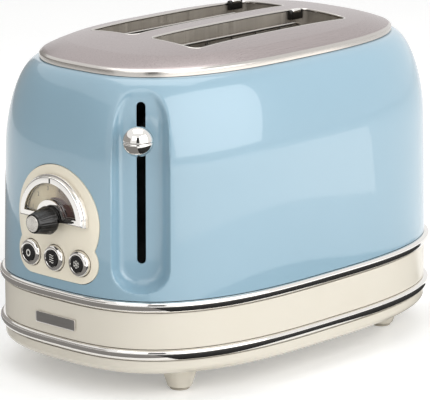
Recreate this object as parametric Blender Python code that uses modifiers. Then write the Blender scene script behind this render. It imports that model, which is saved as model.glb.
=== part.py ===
"""Retro toaster with two long bread slots, made of its separate pieces.

Lengths are in metres and +Z is up. The toaster stands on z = 0 with the controls at its -X end.
The lever is at the corner between that end and the -Y side. Below, front means the -X end and
right means the -Y side.
"""

import math

import bmesh
import bpy
from mathutils import Matrix, Vector

# Gaps that hold for the whole toaster
FIT_GAP = 0.0003
EDGE_GAP = 0.0004
RUN_GAP = 0.0010
OVERRUN = 0.0040

# Chrome bands and the walls that they go round
BAND_HALF_LENGTH = 0.1450
BAND_HALF_WIDTH = 0.0960
BAND_POWER = 2.95
BAND_HEIGHT = 0.0068
BAND_DEPTH = 0.0070
BEAD_DEPTH = 0.0032
UPPER_BAND_Z = 0.05775
LOWER_BAND_Z = 0.02855
WALL_INSET = 0.0020
WALL_POWER = 2.88

# Enamelled body shell
SHELL_SHEET = 0.0012
SHELL_DRAFT = 0.0027
SHOULDER_Z = 0.1363
SHOULDER_POWER = 1.90
SHELL_TOP_Z = 0.1904
TOP_HALF_LENGTH = 0.1230
TOP_HALF_WIDTH = 0.0720
SEAT_WIDTH = 0.0035

# Steel top plate and its bread slots
PLATE_SHEET = 0.0010
CROWN_RISE = 0.0141
RIM_HEIGHT = 0.0035
RIM_CHAMFER = 0.0009
CROWN_POWER = 4.3
CROWN_RING_SHARES = (0.97, 0.93, 0.86, 0.76, 0.60, 0.40)
SLOT_LENGTH = 0.1394
SLOT_WIDTH = 0.0391
SLOT_PITCH = 0.0515
SLOT_CORNER = 0.0060

# Base housing and bottom pan
HOUSING_WALL = 0.0020
PAN_WALL = 0.0022
PAN_SKIRT = 0.0040
PAN_BOTTOM_Z = 0.0146
PAN_INSET = 0.0120
PAN_CURVE_SHARES = ((0.45, 0.12), (0.80, 0.45))
VENT_LENGTH = 0.0500
VENT_WIDTH = 0.0050
VENT_PITCH = 0.0130
VENT_COUNT = 5
POST_RADIUS = 0.0055
RAIL_WIDTH = 0.0050
RAIL_LENGTH = 0.1700
RAIL_PITCH = 0.0760

# Feet, their pads and the long screws through them
SCREW_END_MARGIN = 0.0120
SCREW_SIDE_MARGIN = 0.0073
FOOT_TOP_RADIUS = 0.0110
FOOT_BOTTOM_RADIUS = 0.0073
PAD_RADIUS = 0.0060
PAD_HEIGHT = 0.0014
SCREW_RADIUS = 0.0017
SCREW_HEAD_RADIUS = 0.0036
SCREW_HEAD_HEIGHT = 0.0026
SCREW_HEAD_Z = 0.0042
SCREW_END = 0.0060
SCREW_PLAY = 0.0004
HEAD_PLAY = 0.0006

# Lever recess, its slot, the lever arm and its ball
LEVER_BEARING = math.radians(39.2)
LEVER_SIDE_SHIFT = 0.0039
RECESS_DEPTH = 0.0115
RECESS_FLOOR_HALF_WIDTH = 0.0095
RECESS_FLOOR_BOTTOM_Z = 0.0720
RECESS_FLOOR_TOP_Z = 0.1840
RECESS_FLOOR_CORNER = 0.0080
RECESS_SIDE_SPREAD = 0.0084
RECESS_END_SPREAD = 0.0060
RECESS_ARCH_SHARE = 1.9
RECESS_PROFILE_SHARES = ((0.0, 0.0), (0.12, 0.42), (0.45, 0.75), (1.0, 1.0), (1.8, 1.35))
LEVER_SLOT_WIDTH = 0.0054
LEVER_SLOT_BOTTOM_Z = 0.0812
LEVER_SLOT_TOP_Z = 0.1779
LEVER_SLOT_REACH = 0.0230
BALL_RADIUS = 0.0090
BALL_Z = 0.1590
BALL_STAND_OFF = 0.0120
ARM_WIDTH = 0.0040
ARM_HEIGHT = 0.0060
ARM_LENGTH = 0.0540
ARM_SOCKET_DEPTH = 0.0110

# Control panel: a round upper lobe for the dial over a wide lower lobe for the buttons
PANEL_ROUND_Z = 0.1030
PANEL_ROUND_RADIUS = 0.0335
PANEL_LOBE_Z = 0.0806
PANEL_LOBE_RADIUS = 0.0128
PANEL_LOBE_PITCH = 0.0406
PANEL_PROUD = 0.0008
PANEL_WALL = 0.0024
PANEL_POST_RADIUS = 0.0025
PANEL_POST_PITCH = 0.0340
PANEL_POST_TOP_Z = 0.1240
PANEL_POST_BOTTOM_Z = 0.0950

# Dial
DIAL_Z = 0.1042
BEZEL_RADIUS = 0.0270
BEZEL_HEIGHT = 0.0044
BEZEL_CHAMFER = 0.0012
BEZEL_FOOT = 0.0014
TICK_WIDTH = 0.0012
TICK_DEPTH = 0.0006
WINDOW_BOTTOM = 0.0028
WINDOW_RADIUS = 0.0220
WINDOW_INNER_RADIUS = 0.0118
WINDOW_SHEET = 0.0010
WINDOW_INSET = 0.0014
HUB_CLEARANCE_RADIUS = 0.0040
SCALE_SHEET = 0.0006

# Browning knob
KNOB_BASE_RADIUS = 0.0086
KNOB_FRONT_RADIUS = 0.0060
KNOB_LENGTH = 0.0127
KNOB_BORE_DEPTH = 0.0085
KNOB_EDGE = 0.0008
CAP_RADIUS = 0.0049
CAP_HEIGHT = 0.0006
CAP_POCKET = 0.0004
POINTER_SHEET = 0.0006
POINTER_DISC_RADIUS = 0.0080
POINTER_GAP = 0.0004
POINTER_REST_TURN = math.radians(4)
POINTER_REACH = 0.0195
POINTER_BASE_WIDTH = 0.0020
POINTER_TIP_WIDTH = 0.0010
SHAFT_RADIUS = 0.0030
SHAFT_PLAY = 0.0004

# Push buttons
BUTTON_Z = 0.0802
BUTTON_PITCH = 0.0203
BUTTON_RADIUS = 0.0079
BUTTON_PROUD = 0.0028
BUTTON_BODY = 0.0062
BUTTON_DOME = 0.0018
BUTTON_STEM_RADIUS = 0.0025
BUTTON_TRAVEL = 0.0015
INSERT_RADIUS = 0.0050
INSERT_HEIGHT = 0.0016
INSERT_PROUD = 0.0003

# Circuit board and what is on it
BOARD_STAND_OFF = 0.0135
BOARD_SHEET = 0.0016
BOARD_HALF_WIDTH = 0.0270
BOARD_TOP_Z = 0.1300
BOARD_BOTTOM_Z = 0.0690
POT_SIDE = 0.0160
POT_HEIGHT = 0.0065
SWITCH_SIDE = 0.0060
SWITCH_HEIGHT = 0.0035

# Badge plate
BADGE_LENGTH = 0.0330
BADGE_HEIGHT = 0.0068
BADGE_SHEET = 0.0010
BADGE_CORNER = 0.0010
BADGE_Z = 0.0415

# Crumb tray and its handle
TRAY_LIFT = 0.0013
TRAY_HALF_WIDTH = 0.0470
TRAY_RIM = 0.0060
TRAY_SHEET = 0.0010
TRAY_FRONT_X = -0.0700
HANDLE_HALF_WIDTH = 0.0500
HANDLE_HEIGHT = 0.0145
HANDLE_BACK_X = 0.1316
GRIP_HALF_WIDTH = 0.0200
GRIP_HEIGHT = 0.0040
GRIP_PROUD = 0.0016

# Chassis
CHASSIS_SHEET = 0.0012
CHASSIS_HALF_LENGTH = 0.1060
CHASSIS_HALF_WIDTH = 0.0620
CRUMB_HALF_LENGTH = 0.0660
CRUMB_HALF_WIDTH = 0.0500
FRAME_SETBACK = 0.0300
FRAME_HALF_WIDTH = 0.0580
FRAME_HEADROOM = 0.0130
FRAME_SHELF_REACH = 0.0300
FRAME_SHELF_HALF_WIDTH = 0.0220
RAIL_SLOT_WIDTH = 0.0050
HEATER_SHEET = 0.0012
HEATER_Y = 0.0475
HEATER_BOTTOM_Z = 0.0520
HEATER_TOP_Z = 0.1720

# Bread guides
GUIDE_OFFSET = 0.0160
GUIDE_WIRE_RADIUS = 0.0009
GUIDE_PIVOT_Z = 0.0490
GUIDE_TOP_Z = 0.1955
GUIDE_END_GAP = 0.0100
GUIDE_BAR_COUNT = 5
GUIDE_BEND_SHARE = 1 / 3
GUIDE_BITE_SHARE = 0.3
GUIDE_PLAY = 0.0004

# Carriage, bread rests, guide rod, lift spring and holding magnet
REST_Z = 0.1180
REST_SHEET = 0.0012
REST_HEIGHT = 0.0080
REST_END_GAP = 0.0080
REST_BAR_RADIUS = 0.0012
REST_BAR_HALF_LENGTH = 0.0110
REST_BAR_PITCH = 0.0250
REST_BAR_COUNT = 5
CARRIAGE_GAP = 0.0068
CARRIAGE_SHEET = 0.0016
CARRIAGE_HALF_WIDTH = 0.0360
CARRIAGE_DROP = 0.0020
CARRIAGE_SHELF = 0.0200
ARM_SHELF_HALF_WIDTH = 0.0420
LATCH_SHELF_Z = 0.1310
LATCH_Y = 0.0240
LATCH_SIDE = 0.0120
LATCH_HEIGHT = 0.0020
ROD_RADIUS = 0.0020
ROD_PLAY = 0.0004
ROD_REACH = 0.0100
SPRING_RADIUS = 0.0035
SPRING_WIRE = 0.0008
SPRING_Y = 0.0120
MAGNET_SIDE = 0.0160
LEVER_DROP = 0.0700
LEVER_LIFT = 0.0120

# Cord gland, through the housing wall on the left side
GLAND_X = 0.0450
GLAND_Z = 0.0430
GLAND_RADIUS = 0.0055
GLAND_FLANGE_RADIUS = 0.0080
GLAND_FLANGE = 0.0018
GLAND_BORE_RADIUS = 0.0036
GLAND_LENGTH = 0.0100

# How finely the round shapes are divided
FOOTPRINT_SIDES = 64
SHOULDER_STEPS = 6
ROUND_SIDES = 16
BALL_SIDES = 20
HOLE_SIDES = 24
POST_SIDES = 10
BAR_SIDES = 8
WIRE_SIDES = 6
CORNER_STEPS = 4
END_STEPS = 8
ARCH_STEPS = 12
DISC_STEPS = 18
WINDOW_STEPS = 14
BEAD_STEPS = 6
POINTER_STEPS = 20
BEVEL_ANGLE = math.radians(40)
CREASE_ANGLE = math.radians(35)
MERGE_SHARE = 0.01

# Heights that follow from the sizes above
SHELL_BOTTOM_Z = UPPER_BAND_Z + BAND_HEIGHT / 2 + FIT_GAP
HOUSING_TOP_Z = UPPER_BAND_Z - BAND_HEIGHT / 2 - FIT_GAP
HOUSING_BOTTOM_Z = LOWER_BAND_Z + BAND_HEIGHT / 2 + FIT_GAP
PAN_TOP_Z = LOWER_BAND_Z - BAND_HEIGHT / 2 - FIT_GAP
PAN_FLOOR_Z = PAN_BOTTOM_Z + PAN_WALL
PLATE_BOTTOM_Z = SHELL_TOP_Z + FIT_GAP
TRAY_Z = HOUSING_BOTTOM_Z + TRAY_LIFT
CHASSIS_Z = TRAY_Z + TRAY_RIM + RUN_GAP
CHASSIS_TOP_Z = CHASSIS_Z + CHASSIS_SHEET
FOOT_TOP_Z = PAN_BOTTOM_Z - FIT_GAP
FOOT_BOTTOM_Z = PAD_HEIGHT + FIT_GAP
PLATE_TOP_Z = SHELL_TOP_Z + CROWN_RISE
FRAME_X = CHASSIS_HALF_LENGTH - FRAME_SETBACK
GUIDE_HALF_LENGTH = FRAME_X - GUIDE_END_GAP
REST_REAR_X = FRAME_X - REST_END_GAP
FOOT_X = CHASSIS_HALF_LENGTH - SCREW_END_MARGIN
FOOT_Y = CHASSIS_HALF_WIDTH - SCREW_SIDE_MARGIN
FRAME_TOP_Z = BALL_Z + ARM_HEIGHT / 2 + LEVER_LIFT + FRAME_HEADROOM
WALL_HALF_LENGTH = BAND_HALF_LENGTH - WALL_INSET
WALL_HALF_WIDTH = BAND_HALF_WIDTH - WALL_INSET


def wall_lean(z):
    """How far the shell's wall has leant in at this height."""
    return SHELL_DRAFT * (z - SHELL_BOTTOM_Z) / (SHELL_TOP_Z - SHELL_BOTTOM_Z)


# Places along X that follow from the sizes above
PANEL_FACE_X = -(WALL_HALF_LENGTH - wall_lean(DIAL_Z) + PANEL_PROUD)
PANEL_BACK_X = PANEL_FACE_X + PANEL_WALL
BUTTON_FACE_X = -(WALL_HALF_LENGTH - wall_lean(BUTTON_Z) + PANEL_PROUD)
BOARD_FRONT_X = PANEL_FACE_X + BOARD_STAND_OFF
BEZEL_FRONT_X = PANEL_FACE_X - BEZEL_HEIGHT
POINTER_BACK_X = BEZEL_FRONT_X - POINTER_GAP
POINTER_FRONT_X = POINTER_BACK_X - POINTER_SHEET
KNOB_BACK_X = POINTER_FRONT_X - FIT_GAP
KNOB_FRONT_X = KNOB_BACK_X - KNOB_LENGTH
FRONT_REACH = KNOB_FRONT_X + CAP_POCKET - CAP_HEIGHT - FIT_GAP
CARRIAGE_BACK_X = -(FRAME_X + CHASSIS_SHEET + CARRIAGE_GAP)
CARRIAGE_FRONT_X = CARRIAGE_BACK_X - CARRIAGE_SHEET
ROD_X = CARRIAGE_FRONT_X - ROD_REACH

# The toaster's own middle lies this far from the middle of its whole box, knob included
FRAME_SHIFT = -(FRONT_REACH + BAND_HALF_LENGTH) / 2

for old in list(bpy.data.objects):
    bpy.data.objects.remove(old, do_unlink=True)

PARTS = bpy.data.collections.new("retro_toaster")
CUTTERS = bpy.data.collections.new("cutters")
bpy.context.scene.collection.children.link(PARTS)
bpy.context.scene.collection.children.link(CUTTERS)

BODY = bpy.data.objects.new("toaster_middle", None)
BODY.location = (FRAME_SHIFT, 0, 0)
PARTS.objects.link(BODY)

# Finish of each kind of surface: colour, roughness, metallic
FINISHES = {
    "enamel": ((0.36, 0.56, 0.68), 0.18, 0.0),
    "cream": ((0.76, 0.70, 0.58), 0.35, 0.0),
    "steel": ((0.52, 0.47, 0.46), 0.32, 1.0),
    "chrome": ((0.80, 0.80, 0.80), 0.08, 1.0),
    "black": ((0.015, 0.015, 0.016), 0.40, 0.0),
    "rubber": ((0.03, 0.03, 0.03), 0.80, 0.0),
    "clear": ((0.85, 0.85, 0.82), 0.05, 0.0),
    "sheet": ((0.55, 0.55, 0.54), 0.40, 1.0),
    "mica": ((0.55, 0.45, 0.30), 0.60, 0.0),
    "board": ((0.05, 0.20, 0.10), 0.50, 0.0),
    "badge": ((0.35, 0.35, 0.36), 0.35, 1.0),
}


def paint(piece, kind):
    """Gives a piece its own material in one of the finishes."""
    colour, roughness, metallic = FINISHES[kind]
    material = bpy.data.materials.new(f"{piece.name}_{kind}")
    material.use_nodes = True
    surface = material.node_tree.nodes["Principled BSDF"]
    surface.inputs["Base Color"].default_value = (*colour, 1.0)
    surface.inputs["Roughness"].default_value = roughness
    surface.inputs["Metallic"].default_value = metallic
    piece.data.materials.clear()
    piece.data.materials.append(material)


def add_piece(name, mesh, kind, location=(0, 0, 0)):
    """A sub-part of the toaster, placed from the toaster's middle."""
    piece = bpy.data.objects.new(name, mesh)
    piece.location = location
    piece.parent = BODY
    PARTS.objects.link(piece)
    paint(piece, kind)
    mesh.shade_smooth()
    mesh.set_sharp_from_angle(angle=CREASE_ANGLE)
    return piece


def add_cutter(name, mesh):
    """A shape that only cuts, or joins, other pieces."""
    cutter = bpy.data.objects.new(name, mesh)
    cutter.parent = BODY
    cutter.hide_render = True
    cutter.display_type = "WIRE"
    CUTTERS.objects.link(cutter)
    return cutter


def combine(piece, other, operation):
    """Cuts a piece with another, joins them or keeps what they share."""
    modifier = piece.modifiers.new(f"{operation.lower()}_{other.name}", "BOOLEAN")
    modifier.operation = operation
    modifier.object = other
    modifier.solver = "EXACT"


def cut(piece, *others):
    for other in others:
        combine(piece, other, "DIFFERENCE")


def join(piece, *others):
    for other in others:
        combine(piece, other, "UNION")


def keep_inside(piece, other):
    combine(piece, other, "INTERSECT")


def bevel_edges(piece, width, segments=2):
    modifier = piece.modifiers.new("edges", "BEVEL")
    modifier.width = width
    modifier.segments = segments
    modifier.limit_method = "ANGLE"
    modifier.angle_limit = BEVEL_ANGLE


def mesh_from(name, build):
    """A mesh made of the shapes that build adds to it, with its faces pointing out."""
    shape = bmesh.new()
    build(shape)
    bmesh.ops.recalc_face_normals(shape, faces=shape.faces)
    mesh = bpy.data.meshes.new(name)
    shape.to_mesh(mesh)
    shape.free()
    return mesh


def add_box(shape, low, high):
    low, high = Vector(low), Vector(high)
    size = Matrix.Diagonal((*(high - low), 1.0))
    bmesh.ops.create_cube(shape, size=1.0, matrix=Matrix.Translation((low + high) / 2) @ size)


def add_rod(shape, start, end, radius, end_radius=None, sides=ROUND_SIDES):
    """A round bar or cone between two points."""
    start, end = Vector(start), Vector(end)
    run = end - start
    turn = run.to_track_quat("Z", "Y").to_matrix().to_4x4()
    bmesh.ops.create_cone(
        shape,
        cap_ends=True,
        segments=sides,
        radius1=radius,
        radius2=radius if end_radius is None else end_radius,
        depth=run.length,
        matrix=Matrix.Translation((start + end) / 2) @ turn,
    )


def boxes(name, *corners):
    return mesh_from(name, lambda shape: [add_box(shape, low, high) for low, high in corners])


def rods(name, *bars, sides=ROUND_SIDES):
    return mesh_from(name, lambda shape: [add_rod(shape, *bar, sides=sides) for bar in bars])


def footprint(half_length, half_width, power, z):
    """A ring of points on the toaster's rounded-rectangle footprint."""
    ring = []
    for step in range(FOOTPRINT_SIDES):
        turn = 2 * math.pi * step / FOOTPRINT_SIDES
        along, across = math.cos(turn), math.sin(turn)
        x = math.copysign(half_length * abs(along) ** (2 / power), along)
        y = math.copysign(half_width * abs(across) ** (2 / power), across)
        ring.append(Vector((x, y, z)))
    return ring


def loft(name, rings, closed=False):
    """A solid through rings of points: capped at both ends, or closed on itself like a hoop."""

    def build(shape):
        loops = [[shape.verts.new(point) for point in ring] for ring in rings]
        pairs = list(zip(loops, loops[1:]))
        if closed:
            pairs.append((loops[-1], loops[0]))
        else:
            shape.faces.new(loops[0])
            shape.faces.new(loops[-1])
        for lower, upper in pairs:
            for here in range(len(lower)):
                there = (here + 1) % len(lower)
                shape.faces.new((lower[here], lower[there], upper[there], upper[here]))

    return mesh_from(name, build)


def arc(centre, radius, start_degrees, end_degrees, steps):
    """Points along an arc in a flat outline."""
    points = []
    for step in range(steps + 1):
        turn = math.radians(start_degrees + (end_degrees - start_degrees) * step / steps)
        points.append((centre[0] + radius * math.cos(turn), centre[1] + radius * math.sin(turn)))
    return points


def rounded_box(half_length, half_width, radius, steps=CORNER_STEPS):
    """The outline of a rectangle with round corners, round its middle."""
    inner_x, inner_y = half_length - radius, half_width - radius
    outline = []
    for side_x, side_y, start in ((1, 1, 0), (-1, 1, 90), (-1, -1, 180), (1, -1, 270)):
        outline += arc((side_x * inner_x, side_y * inner_y), radius, start, start + 90, steps)
    return outline


def plate(name, outline, thickness, place):
    """A flat outline given a thickness, as a mesh; place puts its middle plane in the toaster."""
    curve = bpy.data.curves.new(name, "CURVE")
    curve.dimensions = "2D"
    curve.fill_mode = "BOTH"
    curve.extrude = thickness / 2
    spline = curve.splines.new("POLY")
    spline.points.add(len(outline) - 1)
    for point, (x, y) in zip(spline.points, outline):
        point.co = (x, y, 0, 1)
    spline.use_cyclic_u = True
    return solid_from_curve(name, curve, place)


def solid_from_curve(name, curve, place):
    """The mesh of a curve's solid, with its caps welded on."""
    guide = bpy.data.objects.new(name, curve)
    bpy.context.scene.collection.objects.link(guide)
    graph = bpy.context.evaluated_depsgraph_get()
    mesh = bpy.data.meshes.new_from_object(guide.evaluated_get(graph))
    bpy.data.objects.remove(guide)
    bpy.data.curves.remove(curve)
    shape = bmesh.new()
    shape.from_mesh(mesh)
    bmesh.ops.remove_doubles(shape, verts=shape.verts, dist=FIT_GAP * MERGE_SHARE)
    bmesh.ops.transform(shape, matrix=place, verts=shape.verts)
    bmesh.ops.recalc_face_normals(shape, faces=shape.faces)
    shape.to_mesh(mesh)
    shape.free()
    return mesh


def wire(name, points, radius, cyclic=False):
    """A bent round wire as a mesh."""
    curve = bpy.data.curves.new(name, "CURVE")
    curve.dimensions = "3D"
    curve.bevel_depth = radius
    curve.bevel_resolution = 1
    curve.use_fill_caps = True
    spline = curve.splines.new("POLY")
    spline.points.add(len(points) - 1)
    for point, place in zip(spline.points, points):
        point.co = (*place, 1)
    spline.use_cyclic_u = cyclic
    return solid_from_curve(name, curve, Matrix.Identity(4))


def spin_profile(piece):
    """Turns a profile round its own Z axis into a solid."""
    modifier = piece.modifiers.new("turned", "SCREW")
    modifier.axis = "Z"
    modifier.angle = 2 * math.pi
    modifier.steps = ROUND_SIDES
    modifier.render_steps = ROUND_SIDES
    modifier.use_merge_vertices = True
    modifier.merge_threshold = FIT_GAP * MERGE_SHARE
    modifier.use_smooth_shade = True


def profile_mesh(name, points, closed=False):
    """The half outline of a turned piece, as (radius, height) pairs that run down its outer side."""
    mesh = bpy.data.meshes.new(name)
    edges = [(here, here + 1) for here in range(len(points) - 1)]
    if closed:
        edges.append((len(points) - 1, 0))
    mesh.from_pydata([(radius, 0, height) for radius, height in points], edges, [])
    return mesh


def facing_front(x, y, z):
    """Puts a flat outline, drawn as seen from the front, on the plane x: its right is the -Y side."""
    turn = Matrix(((0, 0, -1, 0), (-1, 0, 0, 0), (0, 1, 0, 0), (0, 0, 0, 1)))
    return Matrix.Translation((x, y, z)) @ turn


# Body shell

def wall_ring(offset, z, turn_share=0.0):
    """The shell's wall at a height; turn_share is how far it has turned over the shoulder."""
    wall_length = WALL_HALF_LENGTH - wall_lean(z)
    wall_width = WALL_HALF_WIDTH - wall_lean(z)
    half_length = wall_length + (TOP_HALF_LENGTH - wall_length) * turn_share + offset
    half_width = wall_width + (TOP_HALF_WIDTH - wall_width) * turn_share + offset
    return footprint(half_length, half_width, WALL_POWER, z)


def shell_solid(name, offset, bottom_z):
    """The solid inside the shell's outer surface, or inside a surface offset from it."""
    rings = [wall_ring(offset, bottom_z), wall_ring(offset, SHOULDER_Z)]
    rise = SHELL_TOP_Z + offset - SHOULDER_Z
    for step in range(1, SHOULDER_STEPS + 1):
        turn = math.pi / 2 * step / SHOULDER_STEPS
        up_share = math.sin(turn) ** (2 / SHOULDER_POWER)
        turn_share = 1 - max(math.cos(turn), 0) ** (2 / SHOULDER_POWER)
        if step == SHOULDER_STEPS:
            up_share, turn_share = 1.0, 1.0
        rings.append(wall_ring(offset, SHOULDER_Z + rise * up_share, turn_share))
    return loft(name, rings)


def lever_frame():
    """The lever's place on the wall at the shell's foot: X runs along the wall and Y outwards."""
    normal = Vector((-math.cos(LEVER_BEARING), -math.sin(LEVER_BEARING), 0))
    power = WALL_POWER / (WALL_POWER - 1)
    along = WALL_HALF_LENGTH * abs(normal.x)
    across = WALL_HALF_WIDTH * abs(normal.y)
    spread = (along ** power + across ** power) ** (1 / WALL_POWER)
    x = -WALL_HALF_LENGTH * along ** (power - 1) / spread
    y = -WALL_HALF_WIDTH * across ** (power - 1) / spread
    side = Vector((normal.y, -normal.x, 0))
    frame = Matrix((side, normal, Vector((0, 0, 1)))).transposed().to_4x4()
    return Matrix.Translation(Vector((x, y, 0)) + side * LEVER_SIDE_SHIFT) @ frame


LEVER_FRAME = lever_frame()


def recess_ring(out, spread_share, grow):
    """One outline of the recess, this far out of the wall: a tall arch over round lower corners."""
    half_width = RECESS_FLOOR_HALF_WIDTH + grow + RECESS_SIDE_SPREAD * spread_share
    bottom = RECESS_FLOOR_BOTTOM_Z - grow - RECESS_END_SPREAD * spread_share
    top = RECESS_FLOOR_TOP_Z + grow + RECESS_END_SPREAD * spread_share
    corner = RECESS_FLOOR_CORNER + grow + RECESS_SIDE_SPREAD * spread_share
    outline = arc((half_width - corner, bottom + corner), corner, 0, -90, CORNER_STEPS)
    outline += arc((corner - half_width, bottom + corner), corner, -90, -180, CORNER_STEPS)
    arch = arc((0, 0), half_width, 180, 0, END_STEPS)
    outline += [(x, top + (z - half_width) * RECESS_ARCH_SHARE) for x, z in arch]
    return [LEVER_FRAME @ Vector((x, out - wall_lean(z), z)) for x, z in outline]


def recess_solid(name, grow):
    """The air in the lever recess, grown by a wall's thickness where it shapes the inner side."""
    rings = [
        recess_ring(RECESS_DEPTH * (out_share - 1) - grow, spread_share, grow)
        for out_share, spread_share in RECESS_PROFILE_SHARES
    ]
    return loft(name, rings)


def panel_outline(grow):
    """The panel's edge as seen from the front, with the upper lobe's middle as its origin."""
    round_radius = PANEL_ROUND_RADIUS + grow
    lobe_radius = PANEL_LOBE_RADIUS + grow
    lobe = Vector((PANEL_LOBE_PITCH / 2, PANEL_LOBE_Z - PANEL_ROUND_Z))
    span = lobe.length
    back = (span ** 2 + round_radius ** 2 - lobe_radius ** 2) / (2 * span)
    half_chord = math.sqrt(round_radius ** 2 - back ** 2)
    unit = lobe / span
    waist = unit * back + Vector((-unit.y, unit.x)) * half_chord
    waist_turn = math.degrees(math.atan2(waist.y, waist.x))
    lobe_turn = math.degrees(math.atan2(waist.y - lobe.y, waist.x - lobe.x))
    right = arc((0, 0), round_radius, 90, waist_turn, ARCH_STEPS)
    right += arc(lobe, lobe_radius, lobe_turn, -90, END_STEPS)[1:]
    left = [(-x, y) for x, y in reversed(right)]
    return right + left[:-1]


def panel_prism(name, grow):
    """The panel's outline as a block that runs from outside the shell to well inside it."""
    place = facing_front(PANEL_FACE_X, 0, PANEL_ROUND_Z)
    return plate(name, panel_outline(grow), 2 * (PANEL_WALL + BAND_DEPTH + OVERRUN), place)


def stadium(half_width, low, high, steps=END_STEPS):
    """A slot's outline with round ends, from low to high."""
    top = arc((0, high - half_width), half_width, 0, 180, steps)
    bottom = arc((0, low + half_width), half_width, 180, 360, steps)
    return top + bottom


def make_shell():
    shell = add_piece("body_shell", shell_solid("body_shell", 0, SHELL_BOTTOM_Z), "enamel")
    recess = add_cutter("recess_air", recess_solid("recess_air", 0))
    core = add_cutter(
        "shell_core", shell_solid("shell_core", -SHELL_SHEET, SHELL_BOTTOM_Z - OVERRUN)
    )
    cut(core, add_cutter("recess_wall", recess_solid("recess_wall", SHELL_SHEET)))
    seat_length = TOP_HALF_LENGTH - SEAT_WIDTH
    seat_width = TOP_HALF_WIDTH - SEAT_WIDTH
    mouth = [
        footprint(seat_length, seat_width, WALL_POWER, SHELL_TOP_Z - OVERRUN),
        footprint(seat_length, seat_width, WALL_POWER, SHELL_TOP_Z + OVERRUN),
    ]
    slot = plate(
        "lever_slot",
        stadium(LEVER_SLOT_WIDTH / 2, LEVER_SLOT_BOTTOM_Z, LEVER_SLOT_TOP_Z),
        2 * LEVER_SLOT_REACH,
        LEVER_FRAME @ Matrix.Rotation(math.pi / 2, 4, "X"),
    )
    cut(
        shell,
        recess,
        core,
        add_cutter("shell_mouth", loft("shell_mouth", mouth)),
        add_cutter("panel_opening", panel_prism("panel_opening", EDGE_GAP)),
        add_cutter("lever_slot", slot),
    )


# Steel top plate

def plate_rings(offset, bottom_z):
    """Rings of the plate's outer surface, or of a surface inside it."""
    half_length = TOP_HALF_LENGTH + offset
    half_width = TOP_HALF_WIDTH + offset
    rim_z = PLATE_BOTTOM_Z + RIM_HEIGHT + offset
    top_z = PLATE_TOP_Z + offset
    rings = [
        footprint(half_length, half_width, WALL_POWER, bottom_z),
        footprint(half_length, half_width, WALL_POWER, rim_z - RIM_CHAMFER),
        footprint(half_length - RIM_CHAMFER, half_width - RIM_CHAMFER, WALL_POWER, rim_z),
    ]
    for share in CROWN_RING_SHARES:
        z = top_z - (top_z - rim_z) * share ** CROWN_POWER
        rings.append(footprint(half_length * share, half_width * share, WALL_POWER, z))
    return rings


def slot_block(name, side, grow):
    """One bread slot's opening as an upright block."""
    outline = rounded_box(SLOT_LENGTH / 2 + grow, SLOT_WIDTH / 2 + grow, SLOT_CORNER + grow)
    reach = PLATE_TOP_Z - PLATE_BOTTOM_Z + OVERRUN
    place = Matrix.Translation((0, side * SLOT_PITCH / 2, PLATE_BOTTOM_Z))
    return plate(name, outline, 2 * reach, place)


def make_top_plate():
    top = add_piece("top_plate", loft("top_plate", plate_rings(0, PLATE_BOTTOM_Z)), "steel")
    core = add_cutter(
        "plate_core", loft("plate_core", plate_rings(-PLATE_SHEET, PLATE_BOTTOM_Z - OVERRUN))
    )
    for side, hand in ((1, "left"), (-1, "right")):
        collar = add_cutter(f"collar_{hand}", slot_block(f"collar_{hand}", side, PLATE_SHEET))
        cut(core, collar)
    cut(top, core)
    for side, hand in ((1, "left"), (-1, "right")):
        cut(top, add_cutter(f"bread_slot_{hand}", slot_block(f"bread_slot_{hand}", side, 0)))


# Bands, housing and pan

def make_band(name, middle_z):
    """A chrome hoop: a half-round bead outside and a flat web that the walls clamp."""
    profile = []
    for step in range(BEAD_STEPS + 1):
        turn = math.pi * (step / BEAD_STEPS - 1 / 2)
        inset = BEAD_DEPTH * (1 - math.cos(turn))
        profile.append((inset, middle_z + BAND_HEIGHT / 2 * math.sin(turn)))
    profile.append((BAND_DEPTH, middle_z + BAND_HEIGHT / 2))
    profile.append((BAND_DEPTH, middle_z - BAND_HEIGHT / 2))
    rings = [
        footprint(BAND_HALF_LENGTH - inset, BAND_HALF_WIDTH - inset, BAND_POWER, z)
        for inset, z in profile
    ]
    add_piece(name, loft(name, rings, closed=True), "chrome")


def base_ring(inset, z):
    return footprint(WALL_HALF_LENGTH - inset, WALL_HALF_WIDTH - inset, WALL_POWER, z)


def make_housing():
    rings = [
        base_ring(0, HOUSING_BOTTOM_Z),
        base_ring(0, HOUSING_TOP_Z),
        base_ring(HOUSING_WALL, HOUSING_TOP_Z),
        base_ring(HOUSING_WALL, HOUSING_BOTTOM_Z),
    ]
    housing = add_piece("base_housing", loft("base_housing", rings, closed=True), "cream")
    door = boxes(
        "tray_door",
        (
            (FRAME_X, -HANDLE_HALF_WIDTH - EDGE_GAP, HOUSING_BOTTOM_Z - OVERRUN),
            (
                BAND_HALF_LENGTH + OVERRUN,
                HANDLE_HALF_WIDTH + EDGE_GAP,
                HOUSING_BOTTOM_Z + EDGE_GAP + HANDLE_HEIGHT + EDGE_GAP,
            ),
        ),
    )
    gland_hole = rods(
        "gland_hole",
        (
            (GLAND_X, WALL_HALF_WIDTH - GLAND_LENGTH - OVERRUN, GLAND_Z),
            (GLAND_X, WALL_HALF_WIDTH + OVERRUN, GLAND_Z),
            GLAND_RADIUS + EDGE_GAP,
        ),
    )
    cut(housing, add_cutter("tray_door", door), add_cutter("gland_hole", gland_hole))


def corners():
    """The four feet, each with the name of its corner."""
    for end, end_name in ((-1, "front"), (1, "rear")):
        for side, hand in ((1, "left"), (-1, "right")):
            yield end * FOOT_X, side * FOOT_Y, f"{end_name}_{hand}"


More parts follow.
